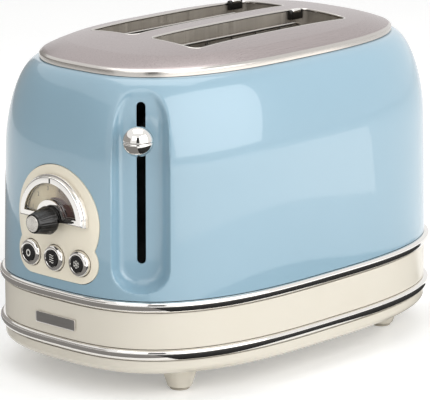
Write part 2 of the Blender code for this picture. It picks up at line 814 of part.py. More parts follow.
def pan_rings(offset, top_z):
    """Rings down the pan's outside, or down a surface inside it."""
    skirt_z = PAN_TOP_Z - PAN_SKIRT
    drop = skirt_z - PAN_BOTTOM_Z
    rings = [base_ring(-offset, top_z), base_ring(-offset, skirt_z)]
    for down_share, in_share in PAN_CURVE_SHARES:
        rings.append(base_ring(PAN_INSET * in_share - offset, skirt_z - drop * down_share))
    rings.append(base_ring(PAN_INSET - offset, PAN_BOTTOM_Z - offset))
    return rings


def make_pan():
    pan = add_piece("bottom_pan", loft("bottom_pan", pan_rings(0, PAN_TOP_Z)), "cream")
    core = loft("pan_core", pan_rings(-PAN_WALL, PAN_TOP_Z + OVERRUN))
    cut(pan, add_cutter("pan_core", core))
    rail_top = TRAY_Z - FIT_GAP
    rails = boxes(
        "tray_rails",
        *(
            (
                (-RAIL_LENGTH / 2, y - RAIL_WIDTH / 2, PAN_BOTTOM_Z + PAN_WALL / 2),
                (RAIL_LENGTH / 2, y + RAIL_WIDTH / 2, rail_top),
            )
            for y in (-RAIL_PITCH / 2, RAIL_PITCH / 2)
        ),
    )
    post_top = CHASSIS_Z - FIT_GAP
    posts = rods(
        "pan_posts",
        *(
            ((x, y, PAN_BOTTOM_Z + PAN_WALL / 2), (x, y, post_top), POST_RADIUS)
            for x, y, _ in corners()
        ),
    )
    join(pan, add_cutter("tray_rails", rails), add_cutter("pan_posts", posts))
    holes = rods(
        "pan_screw_holes",
        *(
            ((x, y, PAN_BOTTOM_Z - OVERRUN), (x, y, post_top + OVERRUN), SCREW_RADIUS + SCREW_PLAY)
            for x, y, _ in corners()
        ),
    )
    first = -VENT_PITCH * (VENT_COUNT - 1) / 2
    vents = boxes(
        "pan_vents",
        *(
            (
                (-VENT_LENGTH / 2, first + VENT_PITCH * number - VENT_WIDTH / 2, PAN_BOTTOM_Z - OVERRUN),
                (VENT_LENGTH / 2, first + VENT_PITCH * number + VENT_WIDTH / 2, PAN_FLOOR_Z + OVERRUN),
            )
            for number in range(VENT_COUNT)
        ),
    )
    cut(pan, add_cutter("pan_screw_holes", holes), add_cutter("pan_vents", vents))


def make_feet():
    """Cone feet with a counterbored screw hole, a rubber pad under each and a long screw through."""
    hole_radius = SCREW_RADIUS + SCREW_PLAY
    head_hole_radius = SCREW_HEAD_RADIUS + HEAD_PLAY
    head_top = SCREW_HEAD_Z + SCREW_HEAD_HEIGHT
    shoulder = head_top + FIT_GAP
    slope = (FOOT_TOP_RADIUS - FOOT_BOTTOM_RADIUS) / (FOOT_TOP_Z - FOOT_BOTTOM_Z)
    foot_profile = [
        (hole_radius, FOOT_TOP_Z),
        (FOOT_TOP_RADIUS, FOOT_TOP_Z),
        (FOOT_BOTTOM_RADIUS + slope * EDGE_GAP, FOOT_BOTTOM_Z + EDGE_GAP),
        (FOOT_BOTTOM_RADIUS - EDGE_GAP, FOOT_BOTTOM_Z),
        (head_hole_radius, FOOT_BOTTOM_Z),
        (head_hole_radius, shoulder),
        (hole_radius, shoulder),
    ]
    pad_profile = [(0, PAD_HEIGHT), (PAD_RADIUS, PAD_HEIGHT), (PAD_RADIUS, 0), (0, 0)]
    screw_top = CHASSIS_TOP_Z + SCREW_END
    screw_profile = [
        (0, screw_top),
        (SCREW_RADIUS, screw_top),
        (SCREW_RADIUS, head_top),
        (SCREW_HEAD_RADIUS, head_top),
        (SCREW_HEAD_RADIUS, SCREW_HEAD_Z),
        (0, SCREW_HEAD_Z),
    ]
    for x, y, corner in corners():
        foot = add_piece(
            f"foot_{corner}", profile_mesh(f"foot_{corner}", foot_profile, True), "cream", (x, y, 0)
        )
        pad = add_piece(
            f"foot_pad_{corner}", profile_mesh(f"foot_pad_{corner}", pad_profile), "rubber", (x, y, 0)
        )
        screw = add_piece(
            f"base_screw_{corner}",
            profile_mesh(f"base_screw_{corner}", screw_profile),
            "sheet",
            (x, y, 0),
        )
        for piece in (foot, pad, screw):
            spin_profile(piece)


# Control panel, dial and buttons

def button_places():
    """The three buttons, as the width along -Y and the name of each."""
    return ((-BUTTON_PITCH, "cancel"), (0, "reheat"), (BUTTON_PITCH, "defrost"))


def front_rod(start_x, end_x, across, z, radius):
    """A bar along X; across is its place as seen from the front."""
    return ((start_x, -across, z), (end_x, -across, z), radius)


def make_panel():
    panel = add_piece("control_panel", panel_prism("control_panel", 0), "cream")
    skin = add_cutter("panel_skin", shell_solid("panel_skin", PANEL_PROUD, SHELL_BOTTOM_Z - OVERRUN))
    core = add_cutter(
        "panel_core", shell_solid("panel_core", PANEL_PROUD - PANEL_WALL, SHELL_BOTTOM_Z - OVERRUN)
    )
    keep_inside(panel, skin)
    cut(panel, core)
    half_pitch = PANEL_POST_PITCH / 2
    post_start = PANEL_FACE_X + PANEL_WALL / 2
    posts = rods(
        "panel_posts",
        *(
            front_rod(post_start, BOARD_FRONT_X - FIT_GAP, across, z, PANEL_POST_RADIUS)
            for across in (-half_pitch, half_pitch)
            for z in (PANEL_POST_TOP_Z, PANEL_POST_BOTTOM_Z)
        ),
        sides=POST_SIDES,
    )
    join(panel, add_cutter("panel_posts", posts))
    start, end = PANEL_FACE_X - BAND_DEPTH, PANEL_BACK_X + BAND_DEPTH
    holes = [front_rod(start, end, 0, DIAL_Z, HUB_CLEARANCE_RADIUS)]
    for across, _ in button_places():
        holes.append(front_rod(start, end, across, BUTTON_Z, BUTTON_RADIUS + EDGE_GAP))
    cut(panel, add_cutter("panel_holes", rods("panel_holes", *holes, sides=HOLE_SIDES)))


def half_disc(radius, foot, steps=DISC_STEPS):
    """A half disc's outline whose flat edge lies foot below the middle."""
    dip = math.degrees(math.asin(foot / radius))
    return arc((0, 0), radius, -dip, 180 + dip, steps)


def half_ring(outer, inner, floor, steps=WINDOW_STEPS):
    """The outline of an arched window, flat at its foot."""
    outer_dip = math.degrees(math.asin(floor / outer))
    inner_dip = math.degrees(math.asin(floor / inner))
    outside = arc((0, 0), outer, outer_dip, 180 - outer_dip, steps)
    return outside + arc((0, 0), inner, 180 - inner_dip, inner_dip, steps)


def make_dial():
    """Chrome half-round frame, its clear window, the scale behind and the knob's hub hole."""
    skin_gap = add_cutter(
        "panel_skin_gap",
        shell_solid("panel_skin_gap", PANEL_PROUD + FIT_GAP, SHELL_BOTTOM_Z - OVERRUN),
    )
    depth = BEZEL_HEIGHT + OVERRUN
    middle = facing_front(BEZEL_FRONT_X + depth / 2, 0, DIAL_Z)
    bezel = add_piece(
        "dial_bezel", plate("dial_bezel", half_disc(BEZEL_RADIUS, BEZEL_FOOT), depth, middle), "chrome"
    )
    bevel_edges(bezel, BEZEL_CHAMFER)
    opening = plate(
        "dial_opening",
        half_ring(WINDOW_RADIUS, WINDOW_INNER_RADIUS, WINDOW_BOTTOM),
        2 * depth,
        middle,
    )
    hub = rods(
        "dial_hub_hole",
        front_rod(BEZEL_FRONT_X - OVERRUN, PANEL_BACK_X, 0, DIAL_Z, HUB_CLEARANCE_RADIUS),
    )
    tick = boxes(
        "dial_tick",
        (
            (BEZEL_FRONT_X - OVERRUN, -TICK_WIDTH / 2, DIAL_Z + WINDOW_RADIUS - OVERRUN),
            (BEZEL_FRONT_X + TICK_DEPTH, TICK_WIDTH / 2, DIAL_Z + BEZEL_RADIUS + OVERRUN),
        ),
    )
    cut(
        bezel,
        skin_gap,
        add_cutter("dial_opening", opening),
        add_cutter("dial_hub_hole", hub),
        add_cutter("dial_tick", tick),
    )

    lens = half_ring(WINDOW_RADIUS - FIT_GAP, WINDOW_INNER_RADIUS + FIT_GAP, WINDOW_BOTTOM + FIT_GAP)
    lens_x = BEZEL_FRONT_X + WINDOW_INSET + WINDOW_SHEET / 2
    lens_place = facing_front(lens_x, 0, DIAL_Z)
    add_piece("dial_window", plate("dial_window", lens, WINDOW_SHEET, lens_place), "clear")

    scale = add_piece(
        "dial_scale", plate("dial_scale", lens, depth, facing_front(PANEL_FACE_X, 0, DIAL_Z)), "cream"
    )
    cut(scale, skin_gap)
    front = shell_solid(
        "scale_front", PANEL_PROUD + FIT_GAP + SCALE_SHEET, SHELL_BOTTOM_Z - OVERRUN
    )
    keep_inside(scale, add_cutter("scale_front", front))


def along_front(piece, x, z, y=0):
    """Stands a turned piece on the dial's or a button's axis, its top towards the front."""
    piece.location = (x, y, z)
    piece.rotation_euler = (0, -math.pi / 2, 0)


def make_knob():
    """The browning knob with its cap, pointer and shaft, all on the dial's axis."""
    bore_radius = SHAFT_RADIUS + SHAFT_PLAY
    pocket_radius = CAP_RADIUS + FIT_GAP
    pocket_z = KNOB_LENGTH - CAP_POCKET
    knob = add_piece(
        "browning_knob",
        profile_mesh(
            "browning_knob",
            [
                (0, pocket_z),
                (pocket_radius, pocket_z),
                (pocket_radius, KNOB_LENGTH),
                (KNOB_FRONT_RADIUS - KNOB_EDGE, KNOB_LENGTH),
                (KNOB_FRONT_RADIUS, KNOB_LENGTH - KNOB_EDGE),
                (KNOB_BASE_RADIUS, KNOB_EDGE),
                (KNOB_BASE_RADIUS - KNOB_EDGE, 0),
                (bore_radius, 0),
                (bore_radius, KNOB_BORE_DEPTH),
                (0, KNOB_BORE_DEPTH),
            ],
        ),
        "black",
    )
    along_front(knob, KNOB_BACK_X, DIAL_Z)
    cap_back = pocket_z + FIT_GAP
    cap_front = cap_back + CAP_HEIGHT
    cap = add_piece(
        "knob_cap",
        profile_mesh(
            "knob_cap", [(0, cap_front), (CAP_RADIUS, cap_front), (CAP_RADIUS, cap_back), (0, cap_back)]
        ),
        "chrome",
    )
    along_front(cap, KNOB_BACK_X, DIAL_Z)
    shaft_back = BOARD_FRONT_X - POT_HEIGHT - 2 * FIT_GAP
    shaft_front = KNOB_BACK_X - KNOB_BORE_DEPTH + FIT_GAP
    shaft_length = shaft_back - shaft_front
    shaft = add_piece(
        "potentiometer_shaft",
        profile_mesh(
            "potentiometer_shaft",
            [(0, shaft_length), (SHAFT_RADIUS, shaft_length), (SHAFT_RADIUS, 0), (0, 0)],
        ),
        "sheet",
    )
    along_front(shaft, shaft_back, DIAL_Z)
    for piece in (knob, cap, shaft):
        spin_profile(piece)

    tip_half, base_half = POINTER_TIP_WIDTH / 2, POINTER_BASE_WIDTH / 2
    base_turn = math.degrees(math.asin(base_half / POINTER_DISC_RADIUS))
    outline = arc((0, 0), POINTER_DISC_RADIUS, base_turn, 360 - base_turn, POINTER_STEPS)
    outline += [(POINTER_REACH, -tip_half), (POINTER_REACH, tip_half)]
    middle_x = (POINTER_BACK_X + POINTER_FRONT_X) / 2
    pointer = add_piece(
        "knob_pointer",
        plate(
            "knob_pointer",
            outline,
            POINTER_SHEET,
            facing_front(0, 0, 0) @ Matrix.Rotation(POINTER_REST_TURN, 4, "Z"),
        ),
        "black",
        (middle_x, 0, DIAL_Z),
    )
    hole = rods(
        "pointer_hole",
        front_rod(POINTER_FRONT_X - OVERRUN, POINTER_BACK_X + OVERRUN, 0, DIAL_Z, bore_radius),
    )
    cut(pointer, add_cutter("pointer_hole", hole))


def wall_fall(y):
    """How far the end wall has curved back at this distance from its middle."""
    reach_share = 1 - (abs(y) / WALL_HALF_WIDTH) ** WALL_POWER
    return WALL_HALF_LENGTH * (1 - reach_share ** (1 / WALL_POWER))


def make_buttons():
    """Chrome button caps with black inserts, on stems that end just short of their switches."""
    pocket_radius = INSERT_RADIUS + FIT_GAP
    front = BUTTON_PROUD
    dome_step = BUTTON_DOME * (1 - math.cos(math.pi / 4))
    pocket_z = front + INSERT_PROUD - INSERT_HEIGHT - FIT_GAP
    body_back = front - BUTTON_BODY
    insert_back = pocket_z + FIT_GAP
    insert_profile = [
        (0, insert_back + INSERT_HEIGHT),
        (INSERT_RADIUS, insert_back + INSERT_HEIGHT),
        (INSERT_RADIUS, insert_back),
        (0, insert_back),
    ]
    for across, use in button_places():
        face_x = BUTTON_FACE_X + wall_fall(across)
        switch_face = face_x - BOARD_FRONT_X + SWITCH_HEIGHT + FIT_GAP
        stem_back = switch_face + BUTTON_TRAVEL + FIT_GAP
        cap_profile = [
            (0, pocket_z),
            (pocket_radius, pocket_z),
            (pocket_radius, front),
            (BUTTON_RADIUS - BUTTON_DOME, front),
            (BUTTON_RADIUS - dome_step, front - dome_step),
            (BUTTON_RADIUS, front - BUTTON_DOME),
            (BUTTON_RADIUS, body_back),
            (BUTTON_STEM_RADIUS, body_back),
            (BUTTON_STEM_RADIUS, stem_back),
            (0, stem_back),
        ]
        for name, profile, kind in (
            (f"button_{use}", cap_profile, "chrome"),
            (f"button_insert_{use}", insert_profile, "black"),
        ):
            piece = add_piece(name, profile_mesh(name, profile), kind)
            along_front(piece, face_x, BUTTON_Z, -across)
            spin_profile(piece)


def make_board():
    """The circuit board on the panel's posts, with the potentiometer and the three switches."""
    back = BOARD_FRONT_X + BOARD_SHEET
    board = boxes(
        "circuit_board",
        ((BOARD_FRONT_X, -BOARD_HALF_WIDTH, BOARD_BOTTOM_Z), (back, BOARD_HALF_WIDTH, BOARD_TOP_Z)),
    )
    add_piece("circuit_board", board, "board")
    seat = BOARD_FRONT_X - FIT_GAP
    half = POT_SIDE / 2
    pot = boxes(
        "timer_potentiometer", ((seat - POT_HEIGHT, -half, DIAL_Z - half), (seat, half, DIAL_Z + half))
    )
    add_piece("timer_potentiometer", pot, "black")
    half = SWITCH_SIDE / 2
    for across, use in button_places():
        low = (seat - SWITCH_HEIGHT, -across - half, BUTTON_Z - half)
        high = (seat, -across + half, BUTTON_Z + half)
        name = f"push_switch_{use}"
        add_piece(name, boxes(name, (low, high)), "black")


def make_badge():
    """The plate on the cream base, left blank."""
    outline = rounded_box(BADGE_LENGTH / 2, BADGE_HEIGHT / 2, BADGE_CORNER, 2)
    middle_x = -(WALL_HALF_LENGTH + FIT_GAP + BADGE_SHEET / 2)
    mesh = plate("badge_plate", outline, BADGE_SHEET, facing_front(middle_x, 0, BADGE_Z))
    add_piece("badge_plate", mesh, "badge")


# Lever, carriage and bread rests

def make_lever():
    """The chrome ball on its arm, which passes through the slot in the recess."""
    out = BALL_STAND_OFF + BALL_RADIUS - RECESS_DEPTH - wall_lean(BALL_Z)
    half_width, half_height = ARM_WIDTH / 2, ARM_HEIGHT / 2

    def build_ball(shape):
        bmesh.ops.create_uvsphere(
            shape, u_segments=BALL_SIDES, v_segments=BALL_SIDES // 2, radius=BALL_RADIUS
        )

    def in_lever_frame(mesh):
        mesh.transform(LEVER_FRAME)
        return mesh

    centre = LEVER_FRAME @ Vector((0, out, BALL_Z))
    ball = add_piece("lever_ball", mesh_from("lever_ball", build_ball), "chrome", centre)
    arm_out = out - BALL_RADIUS + ARM_SOCKET_DEPTH
    socket = boxes(
        "ball_socket",
        (
            (-half_width - FIT_GAP, out - 2 * BALL_RADIUS, BALL_Z - half_height - FIT_GAP),
            (half_width + FIT_GAP, arm_out + FIT_GAP, BALL_Z + half_height + FIT_GAP),
        ),
    )
    cut(ball, add_cutter("ball_socket", in_lever_frame(socket)))
    arm = boxes(
        "lever_arm",
        (
            (-half_width, arm_out - ARM_LENGTH, BALL_Z - half_height),
            (half_width, arm_out, BALL_Z + half_height),
        ),
    )
    add_piece("lever_arm", in_lever_frame(arm), "sheet")


def make_carriage():
    """A folded bracket: an upright web, a top shelf for the arm and a lower one for the latch."""
    shelf_top = BALL_Z - ARM_HEIGHT / 2 - FIT_GAP
    shelf_bottom = shelf_top - CARRIAGE_SHEET
    web_bottom = REST_Z - CARRIAGE_DROP
    shelf_front = CARRIAGE_FRONT_X - CARRIAGE_SHELF
    web = (
        (CARRIAGE_FRONT_X, -CARRIAGE_HALF_WIDTH, web_bottom),
        (CARRIAGE_BACK_X, CARRIAGE_HALF_WIDTH, shelf_top),
    )
    carriage = add_piece("carriage", boxes("carriage", web), "sheet")
    arm_shelf = boxes(
        "arm_shelf",
        (
            (shelf_front, -ARM_SHELF_HALF_WIDTH, shelf_bottom),
            (CARRIAGE_FRONT_X + CARRIAGE_SHEET / 2, SPRING_Y + SPRING_RADIUS, shelf_top),
        ),
    )
    latch_shelf = boxes(
        "latch_shelf",
        (
            (shelf_front, -ROD_REACH, LATCH_SHELF_Z),
            (
                CARRIAGE_FRONT_X + CARRIAGE_SHEET / 2,
                LATCH_Y + LATCH_SIDE / 2,
                LATCH_SHELF_Z + CARRIAGE_SHEET,
            ),
        ),
    )
    join(carriage, add_cutter("arm_shelf", arm_shelf), add_cutter("latch_shelf", latch_shelf))
    rod_hole = rods(
        "rod_holes",
        ((ROD_X, 0, web_bottom), (ROD_X, 0, shelf_top + OVERRUN), ROD_RADIUS + ROD_PLAY),
    )
    cut(carriage, add_cutter("rod_holes", rod_hole))
    half = LATCH_SIDE / 2
    latch_top = LATCH_SHELF_Z - FIT_GAP
    latch = boxes(
        "latch_plate",
        (
            (ROD_X - half, LATCH_Y - half, latch_top - LATCH_HEIGHT),
            (ROD_X + half, LATCH_Y + half, latch_top),
        ),
    )
    add_piece("latch_plate", latch, "sheet")
    magnet_top = latch_top - LATCH_HEIGHT - LEVER_DROP - FIT_GAP
    half = MAGNET_SIDE / 2
    magnet = boxes(
        "holding_magnet",
        (
            (ROD_X - half, LATCH_Y - half, CHASSIS_TOP_Z + FIT_GAP),
            (ROD_X + half, LATCH_Y + half, magnet_top),
        ),
    )
    add_piece("holding_magnet", magnet, "black")
    rod = rods(
        "guide_rod",
        (
            (ROD_X, 0, CHASSIS_TOP_Z + FIT_GAP),
            (ROD_X, 0, FRAME_TOP_Z - CHASSIS_SHEET - FIT_GAP),
            ROD_RADIUS,
        ),
    )
    add_piece("guide_rod", rod, "chrome")
    spring_bottom = shelf_top + FIT_GAP
    spring_top = FRAME_TOP_Z - CHASSIS_SHEET - FIT_GAP
    spring = add_piece(
        "lift_spring",
        profile_mesh(
            "lift_spring",
            [
                (SPRING_RADIUS - SPRING_WIRE, spring_top),
                (SPRING_RADIUS, spring_top),
                (SPRING_RADIUS, spring_bottom),
                (SPRING_RADIUS - SPRING_WIRE, spring_bottom),
            ],
            True,
        ),
        "sheet",
        (ROD_X, -SPRING_Y, 0),
    )
    spin_profile(spring)


def make_bread_rests():
    """A rail for each slot, with cross bars under the bread, hooked to the carriage through the frame."""
    first = -REST_BAR_PITCH * (REST_BAR_COUNT - 1) / 2
    bar_z = REST_Z + REST_HEIGHT - REST_BAR_RADIUS
    for side, hand in ((1, "left"), (-1, "right")):
        y = side * SLOT_PITCH / 2
        rail = add_piece(
            f"bread_rest_{hand}",
            boxes(
                f"bread_rest_{hand}",
                (
                    (CARRIAGE_BACK_X + FIT_GAP, y - REST_SHEET / 2, REST_Z),
                    (REST_REAR_X, y + REST_SHEET / 2, REST_Z + REST_HEIGHT),
                ),
            ),
            "sheet",
        )
        bars = rods(
            f"rest_bars_{hand}",
            *(
                (
                    (first + REST_BAR_PITCH * number, y - REST_BAR_HALF_LENGTH, bar_z),
                    (first + REST_BAR_PITCH * number, y + REST_BAR_HALF_LENGTH, bar_z),
                    REST_BAR_RADIUS,
                )
                for number in range(REST_BAR_COUNT)
            ),
            sides=BAR_SIDES,
        )
        join(rail, add_cutter(f"rest_bars_{hand}", bars))


# Chassis, heaters and bread guides

def guide_places():
    """Each bread guide, with its distance to the left and its name."""
    for side, hand in ((1, "left"), (-1, "right")):
        for offset, place in ((GUIDE_OFFSET, "outer"), (-GUIDE_OFFSET, "inner")):
            yield side * (SLOT_PITCH / 2 + offset), f"bread_guide_{hand}_{place}"


def make_chassis():
    """The floor that the pan's posts carry, the front frame, and the bent sheet round the rest."""
    floor = add_piece(
        "chassis_floor",
        boxes(
            "chassis_floor",
            (
                (-CHASSIS_HALF_LENGTH, -CHASSIS_HALF_WIDTH, CHASSIS_Z),
                (CHASSIS_HALF_LENGTH, CHASSIS_HALF_WIDTH, CHASSIS_TOP_Z),
            ),
        ),
        "sheet",
    )
    crumb_hole = boxes(
        "crumb_hole",
        (
            (-CRUMB_HALF_LENGTH, -CRUMB_HALF_WIDTH, CHASSIS_Z - OVERRUN),
            (CRUMB_HALF_LENGTH, CRUMB_HALF_WIDTH, CHASSIS_TOP_Z + OVERRUN),
        ),
    )
    screw_holes = rods(
        "chassis_screw_holes",
        *(
            (
                (x, y, CHASSIS_Z - OVERRUN),
                (x, y, CHASSIS_TOP_Z + OVERRUN),
                SCREW_RADIUS + SCREW_PLAY,
            )
            for x, y, _ in corners()
        ),
    )
    cut(floor, add_cutter("crumb_hole", crumb_hole), add_cutter("chassis_screw_holes", screw_holes))

    bottom = CHASSIS_TOP_Z + FIT_GAP
    outer = FRAME_X + CHASSIS_SHEET
    front = add_piece(
        "front_frame",
        boxes("front_frame", ((-outer, -FRAME_HALF_WIDTH, bottom), (-FRAME_X, FRAME_HALF_WIDTH, FRAME_TOP_Z))),
        "sheet",
    )
    shelf = boxes(
        "rod_shelf",
        (
            (-outer - FRAME_SHELF_REACH, -FRAME_SHELF_HALF_WIDTH, FRAME_TOP_Z - CHASSIS_SHEET),
            (-outer + CHASSIS_SHEET / 2, FRAME_SHELF_HALF_WIDTH, FRAME_TOP_Z),
        ),
    )
    join(front, add_cutter("rod_shelf", shelf))
    slots = boxes(
        "rail_slots",
        *(
            (
                (
                    -outer - OVERRUN / 2,
                    y - RAIL_SLOT_WIDTH / 2,
                    REST_Z - LEVER_DROP - RUN_GAP,
                ),
                (
                    -FRAME_X + OVERRUN / 2,
                    y + RAIL_SLOT_WIDTH / 2,
                    REST_Z + REST_HEIGHT + LEVER_LIFT + RUN_GAP,
                ),
            )
            for y in (SLOT_PITCH / 2, -SLOT_PITCH / 2)
        ),
    )
    cut(front, add_cutter("rail_slots", slots))
    wrap = add_piece(
        "reflector_wrap",
        boxes(
            "reflector_wrap",
            ((FRAME_X, -FRAME_HALF_WIDTH, bottom), (outer, FRAME_HALF_WIDTH, FRAME_TOP_Z)),
        ),
        "sheet",
    )
    for side, hand in ((1, "left"), (-1, "right")):
        inner_y = FRAME_HALF_WIDTH - CHASSIS_SHEET
        low_y, high_y = sorted((side * inner_y, side * FRAME_HALF_WIDTH))
        name = f"reflector_{hand}"
        wall = boxes(
            name,
            (
                (-FRAME_X + FIT_GAP, low_y, bottom),
                (FRAME_X + CHASSIS_SHEET / 2, high_y, FRAME_TOP_Z),
            ),
        )
        join(wrap, add_cutter(name, wall))
    pivots = rods(
        "pivot_holes",
        *(
            (
                (-outer - OVERRUN, y, GUIDE_PIVOT_Z),
                (outer + OVERRUN, y, GUIDE_PIVOT_Z),
                GUIDE_WIRE_RADIUS + GUIDE_PLAY,
            )
            for y, _ in guide_places()
        ),
        sides=POST_SIDES,
    )
    pivot_holes = add_cutter("pivot_holes", pivots)
    cut(front, pivot_holes)
    cut(wrap, pivot_holes)

    span = FRAME_X - FIT_GAP
    for y, place in ((HEATER_Y, "left"), (0, "centre"), (-HEATER_Y, "right")):
        add_piece(
            f"heater_{place}",
            boxes(
                f"heater_{place}",
                (
                    (-span, y - HEATER_SHEET / 2, HEATER_BOTTOM_Z),
                    (span, y + HEATER_SHEET / 2, HEATER_TOP_Z),
                ),
            ),
            "mica",
        )


def make_guides():
    """Wire cages beside the bread, each pivoting on the ends of its bottom wire."""
    pivot_reach = FRAME_X + CHASSIS_SHEET + GUIDE_WIRE_RADIUS
    height = GUIDE_TOP_Z - GUIDE_PIVOT_Z
    bar_pitch = 2 * GUIDE_HALF_LENGTH / (GUIDE_BAR_COUNT + 1)
    bend = bar_pitch * GUIDE_BEND_SHARE
    bite = GUIDE_WIRE_RADIUS * GUIDE_BITE_SHARE
    for y, name in guide_places():
        axle = ((-pivot_reach, 0, 0), (pivot_reach, 0, 0), GUIDE_WIRE_RADIUS)
        guide = add_piece(name, rods(name, axle, sides=WIRE_SIDES), "chrome", (0, y, GUIDE_PIVOT_Z))
        arch = [
            (-GUIDE_HALF_LENGTH, 0, bite),
            (-GUIDE_HALF_LENGTH, 0, height - bend),
            (-GUIDE_HALF_LENGTH + bend, 0, height),
            (GUIDE_HALF_LENGTH - bend, 0, height),
            (GUIDE_HALF_LENGTH, 0, height - bend),
            (GUIDE_HALF_LENGTH, 0, bite),
        ]
        frame_wire = add_cutter(f"{name}_arch", wire(f"{name}_arch", arch, GUIDE_WIRE_RADIUS))
        bars = rods(
            f"{name}_bars",
            *(
                (
                    (-GUIDE_HALF_LENGTH + bar_pitch * (number + 1), 0, bite),
                    (-GUIDE_HALF_LENGTH + bar_pitch * (number + 1), 0, height - bite),
                    GUIDE_WIRE_RADIUS,
                )
                for number in range(GUIDE_BAR_COUNT)
            ),
            sides=WIRE_SIDES,
        )
        bar_wires = add_cutter(f"{name}_bars", bars)
        for helper in (frame_wire, bar_wires):
            helper.location = (0, y, GUIDE_PIVOT_Z)
        join(guide, frame_wire, bar_wires)


# Crumb tray and cord gland

def make_tray():
    """A shallow steel tray that slides on the pan's rails, with a cream handle in the housing."""
    rear = HANDLE_BACK_X - FIT_GAP
    tray = add_piece(
        "crumb_tray",
        boxes(
            "crumb_tray",
            ((TRAY_FRONT_X, -TRAY_HALF_WIDTH, TRAY_Z), (rear, TRAY_HALF_WIDTH, TRAY_Z + TRAY_RIM)),
        ),
        "sheet",
    )
    hollow = boxes(
        "tray_hollow",
        (
            (TRAY_FRONT_X + TRAY_SHEET, -TRAY_HALF_WIDTH + TRAY_SHEET, TRAY_Z + TRAY_SHEET),
            (rear - TRAY_SHEET, TRAY_HALF_WIDTH - TRAY_SHEET, TRAY_Z + TRAY_RIM + OVERRUN),
        ),
    )
    cut(tray, add_cutter("tray_hollow", hollow))
    low_z = HOUSING_BOTTOM_Z + EDGE_GAP
    handle = add_piece(
        "tray_handle",
        boxes(
            "tray_handle",
            (
                (HANDLE_BACK_X, -HANDLE_HALF_WIDTH, low_z),
                (BAND_HALF_LENGTH + OVERRUN, HANDLE_HALF_WIDTH, low_z + HANDLE_HEIGHT),
            ),
        ),
        "cream",
    )
    wall = loft("handle_face", [base_ring(0, low_z - OVERRUN), base_ring(0, HOUSING_TOP_Z + OVERRUN)])
    keep_inside(handle, add_cutter("handle_face", wall))
    grip_z = low_z + HANDLE_HEIGHT / 2
    grip = boxes(
        "handle_grip",
        (
            (HANDLE_BACK_X + TRAY_SHEET, -GRIP_HALF_WIDTH, grip_z - GRIP_HEIGHT / 2),
            (WALL_HALF_LENGTH + GRIP_PROUD, GRIP_HALF_WIDTH, grip_z + GRIP_HEIGHT / 2),
        ),
    )
    join(handle, add_cutter("handle_grip", grip))


def make_gland():
    """A flanged grommet in the housing's wall."""
    reach_share = 1 - (GLAND_X / WALL_HALF_LENGTH) ** WALL_POWER
    wall_y = WALL_HALF_WIDTH * reach_share ** (1 / WALL_POWER)
    back = -(GLAND_LENGTH - GLAND_FLANGE)
    gland = add_piece(
        "cord_gland",
        profile_mesh(
            "cord_gland",
            [
                (GLAND_BORE_RADIUS, GLAND_FLANGE),
                (GLAND_FLANGE_RADIUS, GLAND_FLANGE),
                (GLAND_FLANGE_RADIUS, 0),
                (GLAND_RADIUS, 0),
                (GLAND_RADIUS, back),
                (GLAND_BORE_RADIUS, back),
            ],
            True,
        ),
        "black",
        (GLAND_X, wall_y + GLAND_FLANGE / 2, GLAND_Z),
    )
    gland.rotation_euler = (-math.pi / 2, 0, 0)
    spin_profile(gland)


make_shell()
make_top_plate()
make_band("upper_band", UPPER_BAND_Z)
make_band("lower_band", LOWER_BAND_Z)
make_housing()
make_pan()
make_feet()
make_panel()
make_dial()
make_knob()
make_buttons()
make_board()
make_badge()
make_lever()
make_carriage()
make_bread_rests()
make_chassis()
make_guides()
make_tray()
make_gland()
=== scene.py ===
import math

import bmesh
import bpy
from mathutils import Matrix, Vector


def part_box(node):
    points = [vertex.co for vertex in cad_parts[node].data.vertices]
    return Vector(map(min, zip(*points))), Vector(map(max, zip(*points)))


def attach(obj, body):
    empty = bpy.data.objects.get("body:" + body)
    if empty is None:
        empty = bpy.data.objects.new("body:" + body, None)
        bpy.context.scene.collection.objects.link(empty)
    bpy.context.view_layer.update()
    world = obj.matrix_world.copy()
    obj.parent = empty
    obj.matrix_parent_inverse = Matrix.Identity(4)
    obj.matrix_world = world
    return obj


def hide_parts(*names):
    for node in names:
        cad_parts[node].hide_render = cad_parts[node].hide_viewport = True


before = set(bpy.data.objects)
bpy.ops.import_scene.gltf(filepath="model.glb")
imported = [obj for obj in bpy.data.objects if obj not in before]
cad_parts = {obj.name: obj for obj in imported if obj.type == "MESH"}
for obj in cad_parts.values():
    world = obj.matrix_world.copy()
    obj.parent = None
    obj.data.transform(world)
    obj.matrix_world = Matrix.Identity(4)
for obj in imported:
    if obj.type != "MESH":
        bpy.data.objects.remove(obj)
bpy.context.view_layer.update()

# The toaster's own middle. The knob at the front makes the whole box longer, so every piece is
# drawn round the middle of the base and moved here when it is finished.
base_low, base_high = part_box("base_housing")
MIDDLE = Matrix.Translation(((base_low.x + base_high.x) / 2, 0, 0))


# Base housing: the tall cream ring between the two chrome bands, moulded in glossy ABS.
# The mould leaves it very even, with only a faint waviness in what it reflects.

WALL_HALF_LENGTH = 0.1430
WALL_HALF_WIDTH = 0.0940
WALL_POWER = 2.88
OUTLINE_POINTS = 288
CROWDING_SHARE = 0.7
HOUSING_FOOT_Z = 0.03225
HOUSING_TOP_Z = 0.05405
HOUSING_WALL = 0.0020
DOOR_HALF_WIDTH = 0.0504
DOOR_TOP_Z = 0.04755
GLAND_PLACE = (0.0450, 0.0910, 0.0430)
GLAND_HOLE_RADIUS = 0.0059
GLAND_HOLE_DEPTH = 0.02
DOOR_CUT_X = (0.08, 0.16)
DOOR_CUT_FOOT_Z = 0.02


